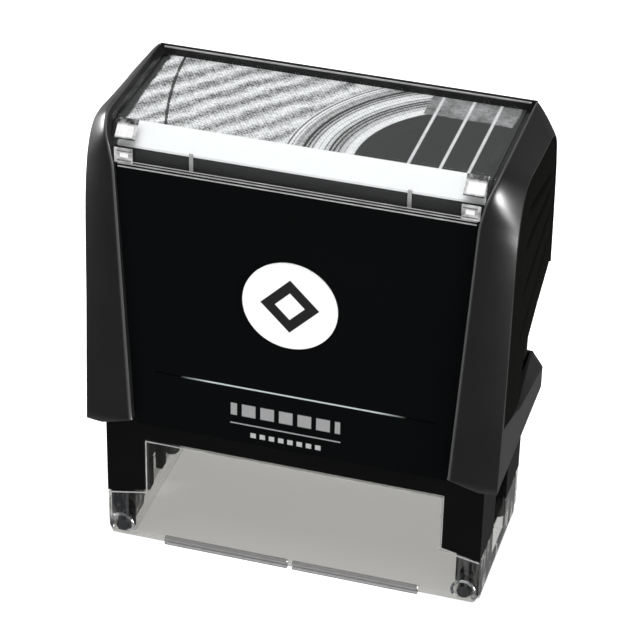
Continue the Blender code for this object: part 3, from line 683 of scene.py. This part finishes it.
def eased(rows, keys, at):
    """Rows of values read between uneven keys along a curve with no kinks (cubic Hermite spans)."""
    slopes = np.gradient(rows, keys, axis=0)
    index = np.clip(np.searchsorted(keys, at, "right") - 1, 0, len(keys) - 2)
    span = (keys[index + 1] - keys[index])[:, None]
    t = (at[:, None] - keys[index][:, None]) / span
    start, end = rows[index], rows[index + 1]
    leave, arrive = slopes[index] * span, slopes[index + 1] * span
    return (2 * t**3 - 3 * t**2 + 1) * start + (t**3 - 2 * t**2 + t) * leave \
        + (3 * t**2 - 2 * t**3) * end + (t**3 - t**2) * arrive


def rail(side):
    """One rail: a section of the bar carried along its crest.

    At each row the section leaves the grip's edge, turns over the side edge, and climbs the bevel to
    the crest: crest + (side edge - crest) * share ** hollow, where share is how far x has gone from
    the opening to the side. Then it rounds the rim of the opening and comes back inside. The foot slants
    up towards the opening. The rim is marked for a painted highlight, and the foot's edge for a weaker one.
    """
    keys = run_length(RAIL_ROWS[:, :4])
    at = np.concatenate([np.linspace(a, b, 7)[:-1] for a, b in zip(keys[:-1], keys[1:])] + [keys[-1:]])
    rows = eased(RAIL_ROWS, keys, at)
    crest, flank, grip_edge = rows[:, None, 0:2], rows[:, None, 2:4], rows[:, None, 4:6]
    hollow, thick = rows[:, 6:7], rows[:, 7:8]
    fall = flank - crest
    inward = fall / np.linalg.norm(fall, axis=2, keepdims=True)
    edge = 0.3
    turn = np.linspace(0.0, np.pi / 2, 5)[None, :]
    share = np.concatenate([[1.0, 0.985], np.linspace(0.95, 0.0, 19)])[None, :]
    opening = gap_half(crest[..., 1])
    bevel_x = opening + edge + (CAP_HALF - opening - edge) * share
    bevel = crest + fall * (share**hollow)[..., None]
    rim_x = opening + edge * (1.0 - np.sin(turn[:, 1:]))
    rim = crest + inward * (edge * (1.0 - np.cos(turn[:, 1:])))[..., None]
    back = crest + inward * thick[..., None]
    wall_share = (RAIL_WALL - opening) / (CAP_HALF - opening)
    above_skirt = np.clip((crest[..., 1] - 69.8) / 4.0, 0.0, 1.0)
    corner = back + fall * (wall_share**hollow * above_skirt)[..., None]
    near_flank = flank + (grip_edge - flank) * 0.12
    place = np.concatenate([grip_edge, near_flank, bevel, rim, back, corner, grip_edge], 1)
    place[..., 1] = np.minimum(place[..., 1], CAP_HIGH)
    wall = np.full_like(opening, RAIL_WALL)
    side_x = wall + CAP_HALF - RAIL_WALL
    across = np.hstack([side_x, side_x, bevel_x, rim_x, gap_half(back[..., 1]), wall, wall])
    z = place[..., 1].copy()
    z[0] += np.clip(34.6 - across[0], 0.0, None) * 0.3155
    marks = np.zeros(across.shape)
    marks[:, 22:26] = 1.0
    marks[0, 2:23] = 0.6
    return (*loft(np.stack([side * across, place[..., 0], z], -1)), marks)


for side, tag in SIDES:
    nodes = ("cap_shell",) if side < 0 else ()
    points, faces, marks = rail(side)
    build(f"rail_{tag}", points, faces, rail_satin, "cap", SLOT_CAP, *nodes, sharp=62, marks=marks)

# The rear wall closes the space between the rails, and its lower edge ends over the cartridge.
FIRST_REAR_ROW = 15
rear_line = RAIL_ROWS[FIRST_REAR_ROW:, :2][::-1]
WALL_Z = np.array([53.4, 60.0, 66.0, 72.0, 77.4, 82.0, 86.35])
WALL_Y = eased(rear_line, rear_line[:, 1], WALL_Z)[:, 0] - 0.02
REAR_THICK, REAR_HALF, REAR_LIP_HALF, REAR_LIP_LOW, REAR_LIP_TOP = 1.2, 34.3, 34.0, 81.9, 86.95
rear_rows = [
    [(-REAR_HALF, y, z), (REAR_HALF, y, z), (REAR_HALF, y - REAR_THICK, z), (-REAR_HALF, y - REAR_THICK, z)]
    for y, z in zip(WALL_Y[:-1], WALL_Z[:-1])
]
build("rear_wall", *loft(rear_rows), rail_satin, "cap", SLOT_CAP)
lip_outline = [(WALL_Y[-2], REAR_LIP_LOW), (WALL_Y[-1], WALL_Z[-1]), (13.85, REAR_LIP_TOP)]
lip_outline += [(13.5, REAR_LIP_TOP), (13.5, 84.9), (12.3, 82.4), (12.3, REAR_LIP_LOW)]
rear_lip = prism(lip_outline, -REAR_LIP_HALF, REAR_LIP_HALF, "X")
build("rear_lip", *rear_lip, rail_satin, "cap", SLOT_CAP, rim=0.12)

# The deck lies under the card, and turns down behind the window's front as a narrow bulkhead.
DECK_Z, BULKHEAD_Y, BULKHEAD_LOW = 84.6, -15.0, 78.5
deck_outline = [(13.4, DECK_Z), (-11.9, DECK_Z), (BULKHEAD_Y, 81.5), (BULKHEAD_Y, BULKHEAD_LOW)]
deck_outline += [(-13.6, BULKHEAD_LOW), (-13.6, 80.8), (-11.0, 82.3), (12.2, 82.3), (13.4, 84.0)]
deck_dark = moulded("deck_dark", (0.034, 0.034, 0.0345), (0.048, 0.048, 0.0485), 0.5, 0.12)
build("deck", *prism(deck_outline, -33.4, 33.4, "X"), deck_dark, "cap", SLOT_CAP, rim=0.2)

# The lower band runs round both sides and the rear below the notch. Its outer top edge is chamfered,
# more towards the rear, and in front of the notch it rises to the grip's tongue.
BAND_Y = np.array([-15.6, -10.0, -4.4, -3.6, -1.1, 4.0, 10.0, 15.9])
BAND_CREASE = np.array([38.85, 37.2, 35.5, 34.9, 34.35, 33.4, 32.3, 31.3])
BAND_TOP = np.array([38.9, 37.25, 35.55, 35.0, 34.4, 34.4, 34.4, 34.4])
BAND_DEPTH = np.array([0.1, 0.1, 0.1, 0.2, 0.6, 1.0, 1.5, 2.0])
BAND_THICK = 2.3


def band():
    """The band: an upright section with a chamfered top, carried round the cap from side to side.

    Each station has a place in plan, the direction inwards, the crease height, the top and the chamfer's
    depth; the mitred corner stations are stretched so that the walls keep their thickness.
    """
    flank = zip(BAND_Y, BAND_CREASE, BAND_TOP, BAND_DEPTH)
    right = [((CAP_HALF, y), (-1.0, 0.0), crease, top, depth) for y, crease, top, depth in flank]
    right += [
        ((CAP_HALF, 17.3), (-1.0, -0.18), 31.1, 34.4, 2.0),
        ((37.35, 17.95), (-0.85, -0.62), 31.1, 34.4, 1.9),
        ((36.6, 18.35), (-0.45, -0.93), 31.1, 34.4, 1.8),
        ((34.6, 18.5), (-0.1, -1.0), 31.3, 34.4, 1.5),
        ((20.0, 18.5), (0.0, -1.0), 31.8, 34.4, 1.2),
    ]
    left = [((-p[0], p[1]), (-n[0], n[1]), c, t, d) for p, n, c, t, d in reversed(right)]
    stations = []
    for place, inward, crease, top, depth in right + left:
        place, inward = np.array(place), np.array(inward)
        section = [(0.0, CAP_LOW), (0.0, crease), (depth, top), (BAND_THICK, top), (BAND_THICK, CAP_LOW)]
        stations.append([(*(place + inward * d), z) for d, z in section])
    return loft(stations)


build("lower_band", *band(), rail_satin, "cap", SLOT_CAP, rim=0.25)

# ----------------------------------------------------------------------
# The grips: soft black rubber pads moulded into the cap's sides, with slanting finger grooves. A thin
# shadow gap parts each one from the rail, and a web of the cap's plastic backs it.

# The grip's outline from its tongue up: height, front edge and rear edge.
GRIP_OUTLINE = np.array([
    (35.75, -4.6, -4.2), (37.5, -10.3, -3.5), (39.2, -15.4, -2.8), (45.9, -15.3, -0.1),
    (50.0, -15.1, 7.8), (53.6, -15.0, 16.7), (61.5, -14.8, 16.35), (65.3, -14.75, 16.15),
    (70.8, -14.6, 15.7), (75.7, -13.8, 14.9), (78.8, -12.9, 13.7), (81.2, -11.5, 12.4),
    (82.2, -10.3, 11.3), (82.7, -9.5, 5.0), (83.1, -7.6, -3.0),
])
GRIP_Z, GRIP_FRONT, GRIP_REAR = GRIP_OUTLINE.T
GROOVES = ((74.0, -0.15), (70.6, 0.03), (65.8, 0.28), (59.8, 0.42))
GROOVE_DEPTH, GROOVE_HALF = 0.75, 0.6


def grip(side):
    """A grip as a field over its outline: row by row in z, from its front edge to its rear edge in y.

    The surface lies at the cap's side less the shoulder's bevel, swells a little in the middle, is
    rounded down over its rim, and dips along a fan of grooves by depth * exp(-(d / half) ** 2), where d
    is how far z is from the groove's line.
    """
    rows, columns = 190, 110
    share = (1 - np.cos(np.linspace(0.0, np.pi, rows))) / 2 * 0.25 + np.linspace(0.0, 1.0, rows) * 0.75
    z = GRIP_Z[0] + (GRIP_Z[-1] - GRIP_Z[0]) * share
    front, rear = np.interp(z, GRIP_Z, GRIP_FRONT), np.interp(z, GRIP_Z, GRIP_REAR)
    s = np.linspace(0.0, 1.0, columns)[None, :]
    s = s * 0.8 + (1 - np.cos(np.pi * s)) / 2 * 0.2
    y = front[:, None] + (rear - front)[:, None] * s
    z = np.repeat(z[:, None], columns, 1)
    loop = np.concatenate([np.column_stack([GRIP_FRONT, GRIP_Z]), np.column_stack([GRIP_REAR, GRIP_Z])[::-1]])
    start, end = loop, np.roll(loop, -1, 0)
    run = end - start
    away_y, away_z = y[..., None] - start[:, 0], z[..., None] - start[:, 1]
    along = np.clip((away_y * run[:, 0] + away_z * run[:, 1]) / (run**2).sum(1), 0.0, 1.0)
    edge = np.hypot(away_y - along * run[:, 0], away_z - along * run[:, 1]).min(-1)
    rim = 0.4 * (1 - np.sqrt(np.clip(1 - (1 - np.clip(edge / 0.4, 0, 1)) ** 2, 0, 1)))
    inside = np.clip((edge - 1.2) / 2.5, 0, 1) * np.clip((y + 8.0) / 6.0, 0, 1)
    groove = sum(
        np.exp(-(((z - height - slope * (y - 12.0)) / GROOVE_HALF) ** 2)) for height, slope in GROOVES)
    groove = GROOVE_DEPTH * np.clip(groove, 0, 1) * inside
    shoulder = np.clip(z - 79.0, 0, None) ** 2 * 0.02
    swell = 0.12 * np.clip(edge / 6.0, 0, 1)
    x = CAP_HALF - 0.16 + swell - rim - groove - shoulder
    outside = np.stack([side * x, y, z], -1)
    inside_face = np.stack([side * np.full_like(x, CAP_HALF - 1.5), y, z], -1)
    points = np.concatenate([outside.reshape(-1, 3), inside_face.reshape(-1, 3)])
    face = np.array(quads(rows, columns))
    count = rows * columns
    index = np.arange(count).reshape(rows, columns)
    loop = np.concatenate([index[0, :-1], index[:-1, -1], index[-1, :0:-1], index[:0:-1, 0]])
    after = np.roll(loop, -1)
    rim_faces = np.column_stack([loop, after, after + count, loop + count])
    return points, face.tolist() + (face[:, ::-1] + count).tolist() + rim_faces.tolist()


grip_black = Finish("soft_grip_black", {"Specular IOR Level": 0.01})
skin = grip_black.noise(2400.0, 3.0, 0.6)
smear = grip_black.noise(110.0, 5.0)
grip_black.drive("Base Color", grip_black.shade(smear, (0.0040, 0.0045, 0.0028), (0.0070, 0.0074, 0.0050)))
grip_black.drive("Roughness", 0.52 + smear * 0.16 + skin * 0.06)
grip_black.relief(skin, 0.4, 0.012)
WEB_OUTLINE = [(-15.5, 30.0), (-4.0, 30.0), (-4.0, 35.2), (0.4, 45.4), (17.2, 53.3), (16.9, 60.0)]
WEB_OUTLINE += [(14.9, 77.6), (12.0, 81.4), (-7.8, 82.0), (-12.5, 78.5), (-14.4, 72.0)]
WEB_THICK = 0.8
for side, tag in SIDES:
    build(f"grip_{tag}", *grip(side), grip_black, "cap", "grip_rubber", f"grip_pad_{tag}")
    web = prism(WEB_OUTLINE, *sorted((side * RAIL_WALL, side * (RAIL_WALL + WEB_THICK))), "X")
    build(f"grip_web_{tag}", *web, rail_satin, "cap", SLOT_CAP)

# ----------------------------------------------------------------------
# The front plate: a flat matt black panel clipped behind the rails. A fine line is engraved across it
# and picked out in white in the middle; the groove is painted darker than the plate, as painted shade.
# Plain grey bars are printed below the line, and a round white label is stuck on above it.

PLATE_FRONT = -16.6
plate_black = Finish("plate_black", {"Specular IOR Level": 0.02})
plate_x, plate_z = plate_black.spot("XZ")
plate_grain = plate_black.noise(2500.0, 2.0)
plate_drift = plate_black.noise(50.0, 3.0)
ground = plate_black.shade(plate_drift, (0.0016, 0.0021, 0.0024), (0.0026, 0.0032, 0.0035))
LINE_Z, LINE_HALF, WHITE_HALF, PRINT_X = 38.35, 0.16, 18.0, -0.5
BARS_Z, BAR_PITCH, RULE_Z, SQUARES_Z, SQUARE_PITCH = 33.6, 3.4, 30.65, 28.6, 1.7
groove_with_shade = plate_z.near(LINE_Z, LINE_HALF, 0.1) * plate_x.near(0.6, 25.6)
white_line = plate_z.near(LINE_Z, 0.15, 0.1) * plate_x.near(0.2, WHITE_HALF, 5.0)
# The groove is painted darker than the plate: painted shade in the engraved line.
colour = plate_black.shade(groove_with_shade, ground, (0.0008, 0.0008, 0.0008))
colour = plate_black.shade(white_line, colour, (0.50, 0.56, 0.56))
BAR_GREY = (0.30, 0.30, 0.305)
bars = plate_z.near(BARS_Z, 1.25, 0.12) * plate_x.near(PRINT_X - 0.5, 10.0, 0.1)
cuts = plate_black.node("Math", {0: plate_x + 40.0, 1: BAR_PITCH}, operation="MODULO")
bars = bars * cuts.near(BAR_PITCH / 2, 1.25, 0.1)
rule = plate_z.near(RULE_Z, 0.13, 0.08) * plate_x.near(PRINT_X - 0.5, 10.1, 0.1)
steps = plate_black.node("Math", {0: plate_x + 40.0, 1: SQUARE_PITCH}, operation="MODULO")
squares = plate_z.near(SQUARES_Z, 0.5, 0.1) * plate_x.near(PRINT_X - 0.6, 6.7, 0.1)
squares = squares * steps.near(SQUARE_PITCH / 2, 0.5, 0.1)
colour = plate_black.shade(bars, colour, BAR_GREY)
colour = plate_black.shade(rule, colour, BAR_GREY)
colour = plate_black.shade(squares, colour, (0.42, 0.42, 0.42))
plate_black.drive("Base Color", colour)
plate_black.drive("Roughness", 0.55 + plate_grain * 0.1)
plate_black.relief(plate_grain * 0.3 - groove_with_shade, 0.5, 0.05)

plate_z_right = np.array([CAP_LOW + 0.05, 29.2, 29.2, 79.0])
plate_x_right = gap_half(plate_z_right) + np.array([-0.3, -0.3, 1.4, 1.4])
plate_right = np.column_stack([plate_x_right, plate_z_right])
plate_outline = np.concatenate([plate_right, plate_right[::-1] * (-1.0, 1.0)])
plate = prism(plate_outline, PLATE_FRONT, PLATE_FRONT + 0.5, "Y")
build("front_panel", *plate, plate_black, "cap", "plate_black", "front_plate", rim=0.12)

LABEL_RADIUS, LABEL_Z, LABEL_X = 8.5, 57.0, -0.4
label_film = Finish("white_label", {"Specular IOR Level": 0.35})
label_x, label_z = label_film.spot("XZ")
paper = label_film.noise(1500.0, 3.0)
dx, dz = abs(label_x - LABEL_X), abs(label_z - LABEL_Z)
DIAMOND_OUTER, DIAMOND_INNER = 5.2, 2.6
mark = (1.0 - (dx + dz - DIAMOND_OUTER).ramp(0.12)) * (dx + dz - DIAMOND_INNER).ramp(0.12)
white = label_film.shade(paper, (0.86, 0.86, 0.86), (0.93, 0.93, 0.93))
label_film.drive("Base Color", label_film.shade(mark, white, (0.006, 0.006, 0.007)))
label_film.drive("Roughness", 0.45 + paper * 0.1)
label_film.relief(paper, 0.2, 0.01)
label_turn = np.linspace(0.0, 2 * np.pi, 97)[:-1]
label_ring = (LABEL_X, LABEL_Z) + LABEL_RADIUS * np.column_stack([np.cos(label_turn), np.sin(label_turn)])
label_disc = prism(label_ring, PLATE_FRONT - 0.32, PLATE_FRONT - 0.01, "Y")
build("label_disc", *label_disc, label_film, "cap", "label_white", "round_label", rim=0.06)

# ----------------------------------------------------------------------
# The card and window: a printed card lies on the deck and folds down over its front edge as a white
# flap. A clear cover snaps over it between the rails, with a clip block at each front corner.

WINDOW_TOP, WINDOW_FRONT, FOLD, FLAP_END = 86.6, -16.5, 99.4, -15.0


def folded_sheet(below, thick, rear, lip=None):
    """The section (y, z) of a sheet under the window's faces: a flat top, a 45 degree fold and a lip.

    A face at depth d under the window has its top at WINDOW_TOP - d, and z - y = FOLD - sqrt(2) d on the
    fold. Without a lip it ends on the fold, at y = FLAP_END.
    """
    def face(depth):
        top, slant = WINDOW_TOP - depth, FOLD - math.sqrt(2.0) * depth
        if lip is None:
            return [(top - slant, top), (FLAP_END, slant + FLAP_END)]
        front = WINDOW_FRONT + depth
        return [(top - slant, top), (front, front + slant), (front, lip)]

    outer, inner = face(below), face(below + thick)
    return [(rear, outer[0][1]), *outer, *reversed(inner), (rear, inner[0][1])]


card = Finish("printed_card", {"Specular IOR Level": 0.05, "Roughness": 0.6})
card_x, card_y = card.spot("XY")
fine = card.noise(1700.0, 3.0, 0.8)
cloud = card.noise(170.0, 6.0, 0.6)


def swing(length, period, operation="SINE"):
    """The sine or cosine of a length along the card, once round in each period."""
    return card.node("Math", {0: length * (2 * math.pi / period)}, operation=operation)


# Slanting bands under a dot screen cover the left. Tone runs from 0, black, to about 1, white.
wave = swing(card_x - 0.4 - card_y * 0.82 + cloud * 5.0, 5.6)
screen = swing(card_x, 0.58) * swing(card_y, 0.96)
tone = 0.56 + wave * (0.09 + cloud * 0.34) + (fine - 0.5) * 1.8 + screen * 0.20

# Rings about a dark disc fill the right: light bands, and thin dark lines (radius, half width, depth).
DISC_X, DISC_Y, DISC_RADIUS, RINGS_RADIUS = 29.5, -10.1, 21.1, 33.0
RING_LINES = (
    (32.4, 0.16, 0.75), (31.7, 0.10, 0.5), (30.9, 0.35, 0.25), (29.6, 0.22, 0.8), (28.9, 0.12, 0.6),
    (28.2, 0.10, 0.6), (27.1, 0.08, 0.4), (26.1, 0.12, 0.5), (25.2, 0.16, 0.7), (24.5, 0.12, 0.6),
    (23.7, 0.10, 0.5), (22.7, 0.08, 0.4),
)
ring_x, ring_y = card_x - DISC_X, card_y - DISC_Y
radius = card.node("Math", {0: ring_x * ring_x + ring_y * ring_y, 1: 0.5}, operation="POWER")
in_rings = (RINGS_RADIUS - radius).ramp(0.3)
ring_tone = 0.60 + swing(radius - 27.0, 5.2, "COSINE") * 0.27 + (fine - 0.5) * 0.8 + screen * 0.14
tone = tone + in_rings * (ring_tone - tone)
for middle, half, depth in RING_LINES:
    tone = tone - radius.near(middle, half, 0.15) * depth
disc = (DISC_RADIUS - radius).ramp(0.2)
tone = tone + disc * (0.02 - tone)

# A grey block lies over the disc's rear, three light lines cross both, and a dark line bends at the left.
block_mask = (card_y - 6.3 + (cloud - 0.5) * 1.5).ramp(0.2) * (card_x - 15.7).ramp(0.2)
tone = tone + block_mask * (0.22 + (cloud - 0.5) * 0.8 + (fine - 0.5) * 0.5 - tone)
glint = card.noise(500.0, 2.0)
for line_x in (17.8, 23.2, 28.0):
    tone = tone + card_x.near(line_x, 0.26, 0.2) * (0.75 + (glint - 0.5) * 0.5 - tone)
bend = card_x + 27.3 + card_y * 0.21 - card_y * card_y * 0.0047
tone = tone - bend.near(0.0, 0.24, 0.15) * 0.8

# The flap in front is bare white, and all of it is painted darker just before the card's two ends:
# painted shade beside the rails.
flap = (-11.1 - card_y).ramp(0.15)
end_shade = (card_x + (cloud - 0.5) * 2.0).near(0.0, 31.6, 0.3)
tone = tone + flap * (0.97 - tone)
level_tone = card.node("Math", {0: tone * end_shade, 1: 0.03}, operation="MAXIMUM")
INK_AND_PAPER = ((0.0, (0.02, 0.02, 0.02)), (0.97, (0.93, 0.93, 0.94)))
card.drive("Base Color", card.node("ValToRGB", {0: level_tone}, stops=INK_AND_PAPER))
card.relief(fine, 0.1, 0.01)
CARD_BELOW, CARD_THICK, CARD_REAR, CARD_HALF = 1.5, 0.3, 13.2, 32.3
card_sheet = prism(folded_sheet(CARD_BELOW, CARD_THICK, CARD_REAR), -CARD_HALF, CARD_HALF, "X")
build("card", *card_sheet, card, "cap", "card_print", "index_card")

window_clear = clear_plastic("polished_clear_plastic", (0.965, 0.97, 0.97), 0.2, 0.07, 0.03)
SLOT_WINDOW = "clear_plastic"


def between_rails(outline, inset):
    """An outline (y, z) carried across the opening: each point ends that far short of the rails."""
    outline = np.asarray(outline, float)
    half = gap_half(outline[:, 1]) - inset
    return loft([np.column_stack([sign * half, outline]) for sign in (-1, 1)])


def strip(low, high):
    """The section (y, z) of a straight strip between two corners."""
    return [low, (high[0], low[1]), high, (low[0], high[1])]


WINDOW_THICK, WINDOW_REAR, WINDOW_LOW = 1.2, 13.25, 78.8
cover = between_rails(folded_sheet(0.0, WINDOW_THICK, WINDOW_REAR, WINDOW_LOW), 0.3)
build("window", *cover, window_clear, "window", SLOT_WINDOW, "top_window", rim=0.18)

# Three fine sills stand out along its lower edge, each as (front, low, high), and one line at the rear.
# They and the two ribs below wear lit_edge, a painted highlight.
SILLS = ((-16.72, 78.8, 78.98), (-16.62, 79.35, 79.5), (-16.58, 79.85, 79.93))
for number, (front, low, high) in enumerate(SILLS):
    sill = between_rails(strip((front, low), (WINDOW_FRONT + 0.1, high)), 0.4)
    build(f"window_sill_{number}", *sill, lit_edge, "window", SLOT_WINDOW)
rear_bead = between_rails(strip((12.95, 86.55), (13.22, 86.78)), 0.6)
build("window_rear_line", *rear_bead, lit_edge, "window", SLOT_WINDOW)
RIB_WIDE = 0.35
for rib_x, tag in ((-18.5, "left"), (19.3, "right")):
    bar = block((rib_x - RIB_WIDE, -15.4, 79.2), (rib_x + RIB_WIDE, -15.1, 82.6))
    build(f"window_rib_{tag}", *bar, lit_edge, "window", SLOT_WINDOW, rim=0.08)

# The clip blocks are clear too, but so full of facets that they only sparkle. An opaque finish stands
# for that: its colour is painted glints and reflections, with a light pane set in each one.
clip_facets = Finish("clip_facets", {"Specular IOR Level": 0.5, "Roughness": 0.2})
clip_x, clip_z = clip_facets.spot("XZ")
facet_glints = clip_facets.noise(700.0, 3.0, 0.7)
clip_tone = 0.45 + (facet_glints - 0.5) * 1.4
out_x = abs(clip_x)
upper = clip_z.near(84.75, 0.72, 0.15) * out_x.near(30.4, 1.6, 0.2)
lower = clip_z.near(81.1, 0.42, 0.1) * out_x.near(29.9, 0.75, 0.1)
border = clip_z.near(81.0, 1.0, 0.1) * out_x.near(29.9, 1.3, 0.1) * (1.0 - clip_z.near(81.0, 0.75, 0.1))
clip_tone = clip_tone + upper * (0.86 + (facet_glints - 0.5) * 0.4 - clip_tone)
clip_tone = clip_tone + border * (0.12 - clip_tone)
clip_tone = clip_tone + lower * (0.92 - clip_tone)
clip_tone = clip_tone - clip_z.near(86.1, 0.4, 0.2) * 0.35 - clip_z.near(83.75, 0.12, 0.1) * 0.5
CLIP_SHADES = ((0.0, (0.02, 0.02, 0.02)), (1.0, (0.92, 0.92, 0.92)))
clip_facets.drive("Base Color", clip_facets.node("ValToRGB", {0: clip_tone}, stops=CLIP_SHADES))
clip_facets.relief(facet_glints, 0.5, 0.15)
UPPER_CLIP_X, LOWER_CLIP_X = (28.3, 31.9), (28.4, 31.7)
UPPER_CLIP = [(-15.95, 83.75), (-15.75, 83.55), (-13.1, 86.2), (-13.3, 86.4)]
LATCH_X, LATCH_Y, LATCH_RADIUS, LATCH_STRAIGHT = 31.6, -6.3, 0.75, 2.6
latch_turn = np.linspace(0.0, 2 * np.pi, 33)[:-1]
for side, tag in SIDES:
    upper_clip = prism(UPPER_CLIP, *sorted(side * x for x in UPPER_CLIP_X), "X")
    build(f"window_clip_upper_{tag}", *upper_clip, clip_facets, "window", SLOT_WINDOW, rim=0.1)
    low, high = sorted(side * x for x in LOWER_CLIP_X)
    lower_clip = block((low, -16.75, 79.6), (high, -16.45, 82.4))
    build(f"window_clip_lower_{tag}", *lower_clip, clip_facets, "window", SLOT_WINDOW, rim=0.1)
    pill_x = side * LATCH_X + LATCH_RADIUS * np.cos(latch_turn)
    pill_y = LATCH_Y + LATCH_RADIUS * np.sin(latch_turn) + np.sign(np.sin(latch_turn)) * LATCH_STRAIGHT
    pill = prism(np.column_stack([pill_x, pill_y]), 86.55, 86.95, "Z")
    build(f"window_latch_{tag}", *pill, window_clear, "window", SLOT_WINDOW, rim=0.12)
